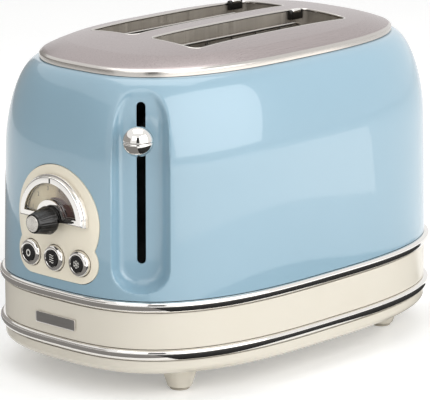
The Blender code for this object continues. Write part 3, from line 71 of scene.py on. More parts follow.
def start_outline(shape, half_length, half_width, power, z, points=OUTLINE_POINTS, close_at=None):
    """A ring on the toaster's outline: a circle pushed out to it, its points closer at a bearing."""
    ring = bmesh.ops.create_circle(shape, radius=1, segments=points)["verts"]
    for corner in ring:
        turn = math.atan2(corner.co.y, corner.co.x)
        if close_at is not None:
            turn -= CROWDING_SHARE * math.sin(turn - close_at)
        along, across = math.cos(turn), math.sin(turn)
        swell = (abs(along) ** power + abs(across) ** power) ** (-1 / power)
        corner.co = (half_length * swell * along, half_width * swell * across, z)
    return {edge for corner in ring for edge in corner.link_edges}


def pull_profile(shape, edges, sizes):
    """Pulls ring after ring out of the last one, through sizes of half length, half width and height."""
    for size, last in zip(sizes[1:], sizes):
        grown = bmesh.ops.extrude_edge_only(shape, edges=list(edges))["geom"]
        ring = {item for item in grown if isinstance(item, bmesh.types.BMVert)}
        stretch = (size[0] / last[0], size[1] / last[1], 1)
        bmesh.ops.scale(shape, vec=stretch, verts=list(ring))
        bmesh.ops.translate(shape, vec=(0, 0, size[2] - last[2]), verts=list(ring))
        edges = {edge for corner in ring for edge in corner.link_edges if ring.issuperset(edge.verts)}
    return edges


def hoop(sizes, power, points=OUTLINE_POINTS):
    """A closed hoop through the rings of those sizes, the last joined to the first."""
    shape = bmesh.new()
    first = start_outline(shape, sizes[0][0], sizes[0][1], power, sizes[0][2], points)
    last = pull_profile(shape, first, sizes)
    bmesh.ops.bridge_loops(shape, edges=list(first | last))
    bmesh.ops.recalc_face_normals(shape, faces=shape.faces)
    return shape


def block(low, high):
    """An upright box between two corners."""
    shape = bmesh.new()
    corners = bmesh.ops.create_cube(shape, size=1)["verts"]
    bmesh.ops.scale(shape, vec=[top - foot for foot, top in zip(low, high)], verts=corners)
    middle = [(top + foot) / 2 for foot, top in zip(low, high)]
    bmesh.ops.translate(shape, vec=middle, verts=corners)
    return shape


def cut_out(shape, *blocks, operation="DIFFERENCE"):
    """Cuts closed blocks out of a closed shape, or joins them to it, or keeps what they share."""
    pieces = []
    for part in (shape, *blocks):
        mesh = bpy.data.meshes.new("cutting")
        part.to_mesh(mesh)
        part.free()
        pieces.append(bpy.data.objects.new("cutting", mesh))
        bpy.context.collection.objects.link(pieces[-1])
    for tool in pieces[1:]:
        step = pieces[0].modifiers.new("cut", "BOOLEAN")
        step.object = tool
        step.solver = "EXACT"
        step.operation = operation
    result = bmesh.new()
    result.from_object(pieces[0], bpy.context.evaluated_depsgraph_get())
    for piece in pieces:
        bpy.data.objects.remove(piece)
    return result


def finish_piece(name, shape, finish, body, slot, *nodes, crease=35):
    """Makes a bmesh a finished piece that rides a body, and stands for the CAD nodes named."""
    bmesh.ops.transform(shape, matrix=MIDDLE, verts=shape.verts)
    mesh = bpy.data.meshes.new(name)
    shape.to_mesh(mesh)
    shape.free()
    mesh.materials.append(finish)
    mesh.shade_smooth()
    mesh.set_sharp_from_angle(angle=math.radians(crease))
    piece = bpy.data.objects.new(name, mesh)
    bpy.context.collection.objects.link(piece)
    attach(piece, body)
    if nodes:
        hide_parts(*nodes)
    return piece


def linear(colour):
    """An sRGB hex colour as linear red, green, blue and alpha."""
    parts = [int(colour[place:place + 2], 16) / 255 for place in (1, 3, 5)]
    return [((part + 0.055) / 1.055) ** 2.4 if part > 0.04045 else part / 12.92 for part in parts] + [1]


def start_finish(name, colour, roughness, **sockets):
    """A new material with its main shader's plain values set; returns it, its nodes and the shader."""
    finish = bpy.data.materials.new(name)
    finish.use_nodes = True
    finish.diffuse_color = linear(colour)
    shader = finish.node_tree.nodes["Principled BSDF"]
    shader.inputs["Base Color"].default_value = linear(colour)
    shader.inputs["Roughness"].default_value = roughness
    for socket, value in sockets.items():
        shader.inputs[socket.replace("_", " ")].default_value = value
    return finish, finish.node_tree, shader


def add_node(tree, kind, settings=None, **links):
    """Adds a node with its settings and links. An input is named, or numbered as i0, i1 and so on."""
    node = tree.nodes.new("ShaderNode" + kind)
    for key, value in (settings or {}).items():
        if isinstance(key, int) or key in node.inputs:
            node.inputs[key].default_value = value
        else:
            setattr(node, key, value)
    for key, source in links.items():
        socket = int(key[1:]) if key[1:].isdigit() else key.replace("_", " ")
        tree.links.new(source, node.inputs[socket])
    return node


def vary_surface(tree, shader, pattern, tones=None, gloss=None, span=(0, 1), relief=None, onto="Normal"):
    """Lets a pattern drift the colour between two tones, vary the roughness, or stand out in relief."""
    if tones:
        mix = {"data_type": "RGBA", 6: linear(tones[0]), 7: linear(tones[1])}
        tint = add_node(tree, "Mix", mix, i0=pattern)
        tree.links.new(tint.outputs[2], shader.inputs["Base Color"])
    if gloss:
        ends = {"From Min": span[0], "From Max": span[1], "To Min": gloss[0], "To Max": gloss[1]}
        spread = add_node(tree, "MapRange", ends, Value=pattern)
        tree.links.new(spread.outputs["Result"], shader.inputs["Roughness"])
    if relief:
        wave = add_node(tree, "Bump", {"Strength": relief[0], "Distance": relief[1]}, Height=pattern)
        tree.links.new(wave.outputs["Normal"], shader.inputs[onto])


def mould_plastic(name, colour, shade, roughness, grain_mm):
    """Moulded plastic: a hair of colour drift, uneven gloss, and a waviness in what it reflects."""
    finish, tree, shader = start_finish(name, colour, roughness, IOR=1.53)
    place = add_node(tree, "TexCoord").outputs["Object"]
    drift = add_node(tree, "TexNoise", {"Scale": 1000 / 45, "Detail": 3}, Vector=place)
    gloss = (roughness * 0.8, roughness * 1.25)
    vary_surface(tree, shader, drift.outputs["Fac"], (colour, shade), gloss)
    grain = add_node(tree, "TexNoise", {"Scale": 1000 / grain_mm, "Detail": 2}, Vector=place)
    vary_surface(tree, shader, grain.outputs["Fac"], relief=(0.2, 0.00005))
    return finish


# Cream ABS, high-gloss moulded: soft reflections over a warm cream that deepens a little in patches
cream_abs = mould_plastic("cream_abs", "#E4DED1", "#DED7C8", 0.2, 2.4)

inner_length = WALL_HALF_LENGTH - HOUSING_WALL
inner_width = WALL_HALF_WIDTH - HOUSING_WALL
housing = hoop(
    [
        (WALL_HALF_LENGTH, WALL_HALF_WIDTH, HOUSING_FOOT_Z),
        (WALL_HALF_LENGTH, WALL_HALF_WIDTH, HOUSING_TOP_Z),
        (inner_length, inner_width, HOUSING_TOP_Z),
        (inner_length, inner_width, HOUSING_FOOT_Z),
    ],
    WALL_POWER,
)
door = block(
    (DOOR_CUT_X[0], -DOOR_HALF_WIDTH, DOOR_CUT_FOOT_Z), (DOOR_CUT_X[1], DOOR_HALF_WIDTH, DOOR_TOP_Z)
)
gland_hole = bmesh.new()
bmesh.ops.create_cone(
    gland_hole,
    cap_ends=True,
    segments=48,
    radius1=GLAND_HOLE_RADIUS,
    radius2=GLAND_HOLE_RADIUS,
    depth=GLAND_HOLE_DEPTH,
    matrix=Matrix.Translation(GLAND_PLACE) @ Matrix.Rotation(math.pi / 2, 4, "X"),
)
finish_piece(
    "cream_housing",
    cut_out(housing, door, gland_hole),
    cream_abs,
    "housing",
    "cream_plastic",
    "base_housing",
)


# Bottom pan: the cream tray under the lower band. Its wall curves in to a flat floor with five
# cooling slots, and two rails inside carry the crumb tray.

PAN_TOP_Z = 0.02485
PAN_SKIRT_Z = 0.02085
PAN_FLOOR_Z = 0.0146
PAN_INSET = 0.0120
PAN_WALL = 0.0022
VENT_HALF_LENGTH = 0.0250
VENT_WIDTH = 0.0050
VENT_PITCH = 0.0130
VENT_CUT_Z = (0.01, 0.02)
RAIL_Y = 0.0380
RAIL_HALF_WIDTH = 0.0025
RAIL_HALF_LENGTH = 0.0850
RAIL_TOP_Z = 0.03325


def pan_sizes(wall):
    """Rings from the pan's brim down its wall and round the turn to its floor."""
    sizes = [(WALL_HALF_LENGTH - wall, WALL_HALF_WIDTH - wall, PAN_TOP_Z)]
    for degrees in range(0, 91, 10):
        turn = math.radians(degrees)
        inset = PAN_INSET * (1 - math.cos(turn)) + wall
        drop = (PAN_SKIRT_Z - PAN_FLOOR_Z - wall) * math.sin(turn)
        sizes.append((WALL_HALF_LENGTH - inset, WALL_HALF_WIDTH - inset, PAN_SKIRT_Z - drop))
    return sizes


def slot_block(length, width, middle_x, middle_y, low, high, segments=16):
    """An upright block with round ends, to cut a slot."""
    shape = bmesh.new()
    ring = bmesh.ops.create_circle(shape, cap_ends=True, radius=width / 2, segments=segments * 2)["verts"]
    for corner in ring:
        corner.co.x += math.copysign((length - width) / 2, corner.co.x)
    bmesh.ops.translate(shape, vec=(middle_x, middle_y, low), verts=ring)
    wall = bmesh.ops.extrude_face_region(shape, geom=shape.faces[:])["geom"]
    top = [item for item in wall if isinstance(item, bmesh.types.BMVert)]
    bmesh.ops.translate(shape, vec=(0, 0, high - low), verts=top)
    bmesh.ops.recalc_face_normals(shape, faces=shape.faces)
    return shape


outside, inside = pan_sizes(0), pan_sizes(PAN_WALL)
pan = bmesh.new()
brim = start_outline(pan, *outside[0][:2], WALL_POWER, outside[0][2])
floor_edge = pull_profile(pan, brim, outside)
bmesh.ops.edgeloop_fill(pan, edges=list(floor_edge))
inner_edge = pull_profile(pan, brim, [outside[0]] + inside)
bmesh.ops.edgeloop_fill(pan, edges=list(inner_edge))
bmesh.ops.recalc_face_normals(pan, faces=pan.faces)
vents = [
    slot_block(2 * VENT_HALF_LENGTH, VENT_WIDTH, 0, number * VENT_PITCH, *VENT_CUT_Z)
    for number in range(-2, 3)
]
pan = cut_out(pan, *vents)
for side in (-1, 1):
    rail = bmesh.ops.create_cube(pan, size=1)["verts"]
    rail_foot_z = PAN_FLOOR_Z + PAN_WALL
    rail_size = (2 * RAIL_HALF_LENGTH, 2 * RAIL_HALF_WIDTH, RAIL_TOP_Z - rail_foot_z)
    bmesh.ops.scale(pan, vec=rail_size, verts=rail)
    bmesh.ops.translate(pan, vec=(0, side * RAIL_Y, (RAIL_TOP_Z + rail_foot_z) / 2), verts=rail)
finish_piece("cream_pan", pan, cream_abs, "housing", "cream_plastic", "bottom_pan")


# Feet: four cream cones held by long screws, each with a pale rubber pad on the ground.
# The cones are the same ABS as the pan; the rubber is moulded with a fine matt grain.

FOOT_X = 0.0940
FOOT_Y = 0.0547
FOOT_PROFILE = (
    (0.0021, 0.0143),
    (0.0110, 0.0143),
    (0.01062, 0.0120),
    (0.0076, 0.0024),
    (0.0073, 0.0019),
    (0.0067, 0.0017),
    (0.0042, 0.0017),
    (0.0042, 0.0071),
    (0.0021, 0.0071),
)
PAD_PROFILE = ((0, 0.0014), (0.0057, 0.0014), (0.0060, 0.0012), (0.0060, 0.0003), (0.0057, 0), (0, 0))


AXIS_MERGE = 0.000001


def turn_profile(profile, steps=48, closed=False):
    """A turned shape: a line of radius and height steps, spun about the upright axis."""
    shape = bmesh.new()
    line = [shape.verts.new((radius, 0, height)) for radius, height in profile]
    pairs = list(zip(line, line[1:])) + ([(line[-1], line[0])] if closed else [])
    edges = [shape.edges.new(pair) for pair in pairs]
    bmesh.ops.spin(
        shape, geom=line + edges, axis=(0, 0, 1), angle=2 * math.pi, steps=steps, use_merge=True
    )
    bmesh.ops.remove_doubles(shape, verts=shape.verts, dist=AXIS_MERGE)
    bmesh.ops.recalc_face_normals(shape, faces=shape.faces)
    return shape


# Moulded rubber, matt: pale warm grey, with a grain that scatters all light
pad_rubber = mould_plastic("pad_rubber", "#B8B1A3", "#ABA496", 0.8, 0.6)

for end, end_name in ((-1, "front"), (1, "rear")):
    for side, side_name in ((1, "left"), (-1, "right")):
        corner_name = f"{end_name}_{side_name}"
        corner_place = Matrix.Translation((end * FOOT_X, side * FOOT_Y, 0))
        foot = turn_profile(FOOT_PROFILE, closed=True)
        pad = turn_profile(PAD_PROFILE)
        for shape in (foot, pad):
            bmesh.ops.transform(shape, matrix=corner_place, verts=shape.verts)
        foot_node, pad_node = f"foot_{corner_name}", f"foot_pad_{corner_name}"
        finish_piece(f"cone_{corner_name}", foot, cream_abs, "housing", "cream_plastic", foot_node)
        finish_piece(f"pad_{corner_name}", pad, pad_rubber, "housing", "pad_rubber", pad_node)


# Chrome bands: two half-round hoops of chromed steel that clamp the shell, housing and pan.
# The chrome is bright and deep, with a faint haze where hands have wiped it.

BAND_HALF_LENGTH = 0.1450
BAND_HALF_WIDTH = 0.0960
BAND_POWER = 2.95
BEAD_DEPTH = 0.0032
BEAD_HALF_HEIGHT = 0.0034
BEAD_POWER = 2.2
BEAD_SKEW = 0.3
BAND_DEPTH = 0.0070
UPPER_BAND_Z = 0.05775
LOWER_BAND_Z = 0.02855


def plate_chrome(name, colour, roughness):
    """Polished chrome plate: near-white metal, with a haze of wiping marks in its gloss."""
    finish, tree, shader = start_finish(name, colour, roughness, Metallic=1.0)
    place = add_node(tree, "TexCoord").outputs["Object"]
    haze = add_node(tree, "TexNoise", {"Scale": 1000 / 14, "Detail": 4}, Vector=place)
    gloss = (roughness, roughness * 2.2)
    vary_surface(tree, shader, haze.outputs["Fac"], gloss=gloss, span=(0.35, 0.75))
    return finish


chrome = plate_chrome("polished_chrome", "#E9E6E2", 0.05)

for name, middle_z in (("upper_band", UPPER_BAND_Z), ("lower_band", LOWER_BAND_Z)):
    sizes = []
    for degrees in range(-90, 91, 9):
        along, across = math.cos(math.radians(degrees)), math.sin(math.radians(degrees))
        inset = BEAD_DEPTH * (1 - max(along, 0) ** (2 / BEAD_POWER))
        share = math.copysign(abs(across) ** (2 / BEAD_POWER), across)
        height = middle_z + BEAD_HALF_HEIGHT * (share + BEAD_SKEW * (1 - share * share))
        sizes.append((BAND_HALF_LENGTH - inset, BAND_HALF_WIDTH - inset, height))
    for side in (1, -1):
        back = (BAND_HALF_LENGTH - BAND_DEPTH, BAND_HALF_WIDTH - BAND_DEPTH)
        sizes.append((*back, middle_z + side * BEAD_HALF_HEIGHT))
    finish_piece(f"chrome_{name}", hoop(sizes, BAND_POWER), chrome, "housing", "chrome", name)


# Body shell: one deep-drawn steel skin, enamelled pale blue. It leans in a little, turns over a
# round shoulder to the seat of the top plate, and has the lever's long dent pressed into a corner.

SHELL_SHEET = 0.0012
SHELL_FOOT_Z = 0.06145
SHELL_DRAFT = 0.0027
SHOULDER_Z = 0.1363
SHOULDER_POWER = 1.90
SHELL_TOP_Z = 0.1904
TOP_HALF_LENGTH = 0.1230
TOP_HALF_WIDTH = 0.0720
SEAT_WIDTH = 0.0035
SHELL_POINTS = 432
WALL_RINGS = 60
RING_SPACING_POWER = 1.5
SHOULDER_RINGS = 30
LEVER_BEARING = math.radians(39.2)
LEVER_SIDE_SHIFT = 0.0039
DENT_DEPTH = 0.0115
DENT_HALF_WIDTH = 0.0095
DENT_FOOT_Z = 0.0720
DENT_TOP_Z = 0.1840
DENT_CORNER = 0.0080
DENT_SIDE_SPREAD = 0.0084
DENT_END_SPREAD = 0.0060
DENT_ARCH = 1.9
DENT_RISE_POWER = 2.5
DENT_LIP = 0.0011
SLOT_HALF_WIDTH = 0.0027
SLOT_FOOT_Z = 0.0812
SLOT_TOP_Z = 0.1779
PANEL_ROUND_Z = 0.1030
PANEL_ROUND_RADIUS = 0.0335
PANEL_LOBE_Z = 0.0806
PANEL_LOBE_RADIUS = 0.0128
PANEL_LOBE_PITCH = 0.0406
PANEL_MARGIN = 0.0004


def wall_size(z, turned=0.0):
    """The shell's half length and half width at a height; turned is how far round the shoulder."""
    lean = SHELL_DRAFT * (z - SHELL_FOOT_Z) / (SHELL_TOP_Z - SHELL_FOOT_Z)
    length, width = WALL_HALF_LENGTH - lean, WALL_HALF_WIDTH - lean
    length += (TOP_HALF_LENGTH - length) * turned
    return length, width + (TOP_HALF_WIDTH - width) * turned, z


def lever_axes():
    """The lever's place on the wall at the shell's foot: X runs along the wall and Y outwards."""
    out = Vector((-math.cos(LEVER_BEARING), -math.sin(LEVER_BEARING), 0))
    power = WALL_POWER / (WALL_POWER - 1)
    along, across = -WALL_HALF_LENGTH * out.x, -WALL_HALF_WIDTH * out.y
    spread = (along ** power + across ** power) ** (1 / WALL_POWER)
    foot = Vector((-WALL_HALF_LENGTH * along ** (power - 1) / spread, 0, 0))
    foot.y = -WALL_HALF_WIDTH * across ** (power - 1) / spread
    side = Vector((out.y, -out.x, 0))
    axes = Matrix((side, out, Vector((0, 0, 1)))).transposed().to_4x4()
    return Matrix.Translation(foot + side * LEVER_SIDE_SHIFT) @ axes


LEVER_AXES = lever_axes()


def dent_surface(across, z):
    """How far out the dent's surface lies: flat on its floor, rising ever steeper past its edge."""
    low, high = DENT_FOOT_Z + DENT_CORNER, DENT_TOP_Z - DENT_HALF_WIDTH * DENT_ARCH
    if low <= z <= high:
        past_edge = (abs(across) - DENT_HALF_WIDTH) / DENT_SIDE_SPREAD
    else:
        corner = DENT_CORNER if z < low else DENT_HALF_WIDTH
        reach_x = max(abs(across) - (DENT_HALF_WIDTH - corner), 0)
        reach_z = low - z if z < low else (z - high) / DENT_ARCH
        reach = math.hypot(reach_x, reach_z)
        end_spread = DENT_END_SPREAD / (1 if z < low else DENT_ARCH)
        spread = DENT_SIDE_SPREAD * reach_x ** 2 + end_spread * reach_z ** 2
        past_edge = (reach - corner) * reach ** 2 / spread
    lean = SHELL_DRAFT * (z - SHELL_FOOT_Z) / (SHELL_TOP_Z - SHELL_FOOT_Z)
    return DENT_DEPTH * (max(past_edge, 0) ** DENT_RISE_POWER - 1) - lean


DENT_SEARCH_WIDTH = 0.03
DENT_SEARCH_DEPTH = 0.06


def press_dent(shape):
    """Presses the lever's dent into the skin, with a soft lip where it meets the wall."""
    to_lever = LEVER_AXES.inverted()
    for corner in shape.verts:
        place = to_lever @ corner.co
        if abs(place.x) > DENT_SEARCH_WIDTH or place.y < -DENT_SEARCH_DEPTH:
            continue
        gap = dent_surface(place.x, place.z) - place.y
        blend = max(DENT_LIP * 2 - abs(gap), 0) / (DENT_LIP * 2)
        place.y += min(gap, 0) - blend * blend * DENT_LIP / 2
        corner.co = LEVER_AXES @ place


SEAM_MERGE = 0.00001


def panel_face(grow):
    """The panel's keyhole outline as a flat face: a large round lobe over two small ones."""
    radius, lobe_radius = PANEL_ROUND_RADIUS + grow, PANEL_LOBE_RADIUS + grow
    lobe = Vector((PANEL_LOBE_PITCH / 2, PANEL_LOBE_Z - PANEL_ROUND_Z, 0))
    back = (lobe.length_squared + radius ** 2 - lobe_radius ** 2) / (2 * lobe.length)
    reach = lobe.normalized()
    waist = reach * back + Vector((-reach.y, reach.x, 0)) * math.sqrt(radius ** 2 - back ** 2)
    shape = bmesh.new()
    tip = [shape.verts.new((0, radius, 0))]
    waist_turn = math.atan2(waist.y, waist.x)
    lobe_turn = math.atan2(waist.y - lobe.y, waist.x - lobe.x)
    for middle, turn, steps in (
        (Vector(), waist_turn - math.pi / 2, 30),
        (lobe, -math.pi / 2 - lobe_turn, 16),
    ):
        tip = bmesh.ops.spin(
            shape, geom=tip, cent=middle, axis=(0, 0, 1), angle=turn, steps=steps
        )["geom_last"]
    foot = bmesh.ops.extrude_vert_indiv(shape, verts=tip)["verts"]
    bmesh.ops.translate(shape, vec=(-lobe.x, 0, 0), verts=foot)
    bmesh.ops.mirror(shape, geom=shape.verts[:] + shape.edges[:], axis="X", merge_dist=SEAM_MERGE)
    bmesh.ops.edgeloop_fill(shape, edges=shape.edges)
    if shape.faces[:][0].normal.z < 0:
        bmesh.ops.reverse_faces(shape, faces=shape.faces)
    return shape


def thicken(shape, depth):
    """Raises flat faces by a depth, with walls down to where they were; returns the top's rim."""
    raised = bmesh.ops.extrude_face_region(shape, geom=shape.faces[:])["geom"]
    top = {item for item in raised if isinstance(item, bmesh.types.BMVert)}
    bmesh.ops.translate(shape, vec=(0, 0, depth), verts=list(top))
    rising = {edge for corner in top for edge in corner.link_edges if not top.issuperset(edge.verts)}
    rim = {corner for edge in rising for corner in edge.verts if corner in top}
    return [edge for edge in shape.edges if rim.issuperset(edge.verts) and edge.calc_face_angle(0) > 1]


def front_place(out, z):
    """Stands a flat drawing up on the front: its right is the -Y side and its depth points out."""
    turn = Matrix(((0, 0, -1, 0), (-1, 0, 0, 0), (0, 1, 0, 0), (0, 0, 0, 1)))
    return Matrix.Translation((-out, 0, z)) @ turn


def enamel_steel():
    """Stoved enamel over steel: pale blue under a clear wet gloss, with a very fine orange peel."""
    gloss_coat = {"Coat_Weight": 1.0, "Coat_Roughness": 0.035, "Coat_IOR": 1.55}
    finish, tree, shader = start_finish("blue_enamel", "#8AABBD", 0.32, IOR=1.5, **gloss_coat)
    place = add_node(tree, "TexCoord").outputs["Object"]
    drift = add_node(tree, "TexNoise", {"Scale": 1000 / 60, "Detail": 2}, Vector=place)
    vary_surface(tree, shader, drift.outputs["Fac"], ("#8AABBC", "#8FAFC0"))
    peel = add_node(tree, "TexNoise", {"Scale": 1000 / 2.2, "Detail": 1}, Vector=place)
    vary_surface(tree, shader, peel.outputs["Fac"], relief=(0.15, 0.00004), onto="Coat Normal")
    return finish


blue_enamel = enamel_steel()

shell_sizes = [
    wall_size(SHELL_FOOT_Z + (SHOULDER_Z - SHELL_FOOT_Z) * (step / WALL_RINGS) ** RING_SPACING_POWER)
    for step in range(WALL_RINGS + 1)
]
for step in range(1, SHOULDER_RINGS + 1):
    turn = math.pi / 2 * step / SHOULDER_RINGS
    rise = (SHELL_TOP_Z - SHOULDER_Z) * math.sin(turn) ** (2 / SHOULDER_POWER)
    turned = 1 - max(math.cos(turn), 0) ** (2 / SHOULDER_POWER)
    shell_sizes.append(wall_size(SHOULDER_Z + rise, turned))
mouth = (TOP_HALF_LENGTH - SEAT_WIDTH, TOP_HALF_WIDTH - SEAT_WIDTH, SHELL_TOP_Z)
shell_sizes.append(mouth)

shell = bmesh.new()
lever_foot = LEVER_AXES.translation
lever_turn = math.atan2(lever_foot.y / WALL_HALF_WIDTH, lever_foot.x / WALL_HALF_LENGTH)
foot_edge = start_outline(
    shell, *shell_sizes[0][:2], WALL_POWER, SHELL_FOOT_Z, SHELL_POINTS, close_at=lever_turn
)
pull_profile(shell, foot_edge, shell_sizes)
press_dent(shell)
bmesh.ops.recalc_face_normals(shell, faces=shell.faces)
if shell.faces[0].normal.dot(shell.faces[0].calc_center_median()) < 0:
    bmesh.ops.reverse_faces(shell, faces=shell.faces)
bmesh.ops.solidify(shell, geom=shell.faces[:], thickness=SHELL_SHEET)

SLOT_CUT_REACH = (-0.03, 0.01)
PANEL_CUT_DEPTH = 0.03
upright = Matrix(((0, 1, 0, 0), (0, 0, 1, 0), (1, 0, 0, 0), (0, 0, 0, 1)))
lever_slot = slot_block(SLOT_TOP_Z - SLOT_FOOT_Z, 2 * SLOT_HALF_WIDTH, 0, 0, *SLOT_CUT_REACH)
slot_place = Matrix.Translation((0, 0, (SLOT_TOP_Z + SLOT_FOOT_Z) / 2)) @ upright
bmesh.ops.transform(lever_slot, matrix=LEVER_AXES @ slot_place, verts=lever_slot.verts)
panel_hole = panel_face(PANEL_MARGIN)
thicken(panel_hole, PANEL_CUT_DEPTH)
hole_place = front_place(WALL_HALF_LENGTH - PANEL_CUT_DEPTH / 2, PANEL_ROUND_Z)
bmesh.ops.transform(panel_hole, matrix=hole_place, verts=panel_hole.verts)
shell = cut_out(shell, lever_slot, panel_hole)
finish_piece("enamel_shell", shell, blue_enamel, "housing", "sky_enamel", "body_shell")


# Control panel: a glossy cream ABS plate shaped like a keyhole, curved with the end wall and let
# into it with a fine dark gap. It has a hole for the dial's shaft and one for each button.

PANEL_PROUD = 0.0008
PANEL_WALL = 0.0024
PANEL_EDGE = 0.0006
PANEL_STRIP = 0.0030
DIAL_Z = 0.1042
SHAFT_HOLE_RADIUS = 0.0040
BUTTON_Z = 0.0802
BUTTON_PITCH = 0.0203
BUTTON_RADIUS = 0.0079
BUTTON_MARGIN = 0.0004
HOLE_CUT_X = (0.1, 0.2)
PANEL_MERGE = 0.0002


def lean_in(z):
    """How far the wall leans in at a height."""
    return SHELL_DRAFT * (z - SHELL_FOOT_Z) / (SHELL_TOP_Z - SHELL_FOOT_Z)


def wall_out(across, z, proud=0):
    """How far the end wall, or a surface proud of it, lies in front of the toaster's middle."""
    length, width, _ = wall_size(z)
    return (length + proud) * (1 - abs(across / (width + proud)) ** WALL_POWER) ** (1 / WALL_POWER)


def soften(shape, width, segments=3, sharper=50, edges=None):
    """Rounds the edges that are sharper than an angle."""
    sharp = [
        edge
        for edge in edges or shape.edges
        if len(edge.link_faces) == 2 and edge.calc_face_angle(0) > math.radians(sharper)
    ]
    bmesh.ops.bevel(
        shape,
        geom=sharp,
        offset=width,
        affect="EDGES",
        segments=segments,
        profile=0.5,
        material=-1,
        clamp_overlap=True,
    )


def round_bar(radius, low, high, across=0, up=0, segments=64):
    """A round bar that stands out of a flat drawing, between two heights."""
    shape = bmesh.new()
    place = Matrix.Translation((across, up, (low + high) / 2))
    bmesh.ops.create_cone(
        shape,
        cap_ends=True,
        segments=segments,
        radius1=radius,
        radius2=radius,
        depth=high - low,
        matrix=place,
    )
    return shape


def cut_strips(shape, pitch, count, direction):
    """Cuts a flat drawing into strips, so that it can follow a curved wall."""
    for number in range(-count, count + 1):
        bmesh.ops.bisect_plane(
            shape,
            geom=shape.verts[:] + shape.edges[:] + shape.faces[:],
            plane_co=[number * pitch * part for part in direction],
            plane_no=direction,
        )


# Warm cream ABS, glossy: the panel is a shade deeper than the base
panel_abs = mould_plastic("panel_abs", "#F6EEDB", "#F1E8D3", 0.18, 2.0)

panel = panel_face(0)
cut_strips(panel, PANEL_STRIP, 11, (1, 0, 0))
bmesh.ops.remove_doubles(panel, verts=panel.verts, dist=PANEL_MERGE)
front_edges = thicken(panel, PANEL_WALL)
soften(panel, PANEL_EDGE, 3, 50, front_edges)
for corner in panel.verts:
    corner.co.z += wall_out(corner.co.x, PANEL_ROUND_Z + corner.co.y, PANEL_PROUD) - PANEL_WALL
holes = [round_bar(SHAFT_HOLE_RADIUS, *HOLE_CUT_X, 0, DIAL_Z - PANEL_ROUND_Z)]
for number in (-1, 0, 1):
    hole_radius = BUTTON_RADIUS + BUTTON_MARGIN
    holes.append(round_bar(hole_radius, *HOLE_CUT_X, number * BUTTON_PITCH, BUTTON_Z - PANEL_ROUND_Z))
panel = cut_out(panel, *holes)
bmesh.ops.transform(panel, matrix=front_place(0, PANEL_ROUND_Z), verts=panel.verts)
finish_piece("cream_panel", panel, panel_abs, "housing", "cream_plastic", "control_panel")


# Dial: a chromed half-round frame on the panel, with a printed card behind a clear window. A thin
# flange lies on the panel, and the ring stands on it with a dark mark at twelve o'clock.

BEZEL_RADIUS = 0.0270
BEZEL_FOOT = 0.0014
BEZEL_HEIGHT = 0.0044
FLANGE_HEIGHT = 0.0021
FLANGE_WIDTH = 0.0012
BEZEL_EDGE = 0.0005
RING_EDGE = 0.0008
WINDOW_RADIUS = 0.0220
WINDOW_INNER_RADIUS = 0.0118
WINDOW_FOOT = 0.0028
MARK_WIDTH = 0.0012
MARK_DEPTH = 0.0006
CARD_GAP = 0.0003
CARD_SHEET = 0.0006
CARD_STRIP = 0.0020


def arch_face(radius, foot, inner_radius=0.0, steps=72):
    """A flat half disc, or half ring, cut off level at its foot."""
    shape = bmesh.new()
    bmesh.ops.create_circle(shape, cap_ends=not inner_radius, radius=radius, segments=2 * steps)
    if inner_radius:
        bmesh.ops.create_circle(shape, radius=inner_radius, segments=2 * steps)
        bmesh.ops.bridge_loops(shape, edges=shape.edges[:])
    bmesh.ops.bisect_plane(
        shape,
        geom=shape.verts[:] + shape.edges[:] + shape.faces[:],
        plane_co=(0, foot, 0),
        plane_no=(0, -1, 0),
        clear_outer=True,
    )
    bmesh.ops.recalc_face_normals(shape, faces=shape.faces)
    if shape.faces[:][0].normal.z < 0:
        bmesh.ops.reverse_faces(shape, faces=shape.faces)
    return shape


def follow_wall(shape, proud):
    """Moves a drawing of the dial, level by level, out to a surface proud of the curved end wall."""
    for corner in shape.verts:
        corner.co.z += wall_out(corner.co.x, DIAL_Z + corner.co.y, proud)


face_out = WALL_HALF_LENGTH + PANEL_PROUD - lean_in(DIAL_Z)
flange = arch_face(BEZEL_RADIUS, -BEZEL_FOOT)
flange_rim = thicken(flange, face_out + FLANGE_HEIGHT)
soften(flange, BEZEL_EDGE, 3, 50, flange_rim)
for corner in flange.verts:
    if corner.co.z < face_out / 2:
        corner.co.z = wall_out(corner.co.x, DIAL_Z + corner.co.y, PANEL_PROUD + CARD_GAP)
ring = arch_face(BEZEL_RADIUS - FLANGE_WIDTH, -BEZEL_FOOT + FLANGE_WIDTH / 2)
bmesh.ops.translate(ring, vec=(0, 0, face_out + BEZEL_EDGE), verts=ring.verts)
ring_rim = thicken(ring, BEZEL_HEIGHT - BEZEL_EDGE)
soften(ring, RING_EDGE, 4, 50, ring_rim)
opening = arch_face(WINDOW_RADIUS, WINDOW_FOOT, WINDOW_INNER_RADIUS)
thicken(opening, 2 * face_out)
mark_low = (-MARK_WIDTH / 2, WINDOW_RADIUS - MARK_WIDTH, face_out + BEZEL_HEIGHT - MARK_DEPTH)
mark_high = (MARK_WIDTH / 2, BEZEL_RADIUS, face_out + BEZEL_HEIGHT + MARK_DEPTH)
bezel = cut_out(flange, opening.copy())
ring = cut_out(ring, opening, block(mark_low, mark_high))


def add_shape(shape, other, matrix=Matrix()):
    """Adds a moved copy of one drawing to another."""
    bmesh.ops.transform(other, matrix=matrix, verts=other.verts)
    spare = bpy.data.meshes.new("spare")
    other.to_mesh(spare)
    other.free()
    shape.from_mesh(spare)
    bpy.data.meshes.remove(spare)


add_shape(bezel, ring)
bmesh.ops.transform(bezel, matrix=front_place(0, DIAL_Z), verts=bezel.verts)
finish_piece("chrome_bezel", bezel, chrome, "housing", "chrome", "dial_bezel")

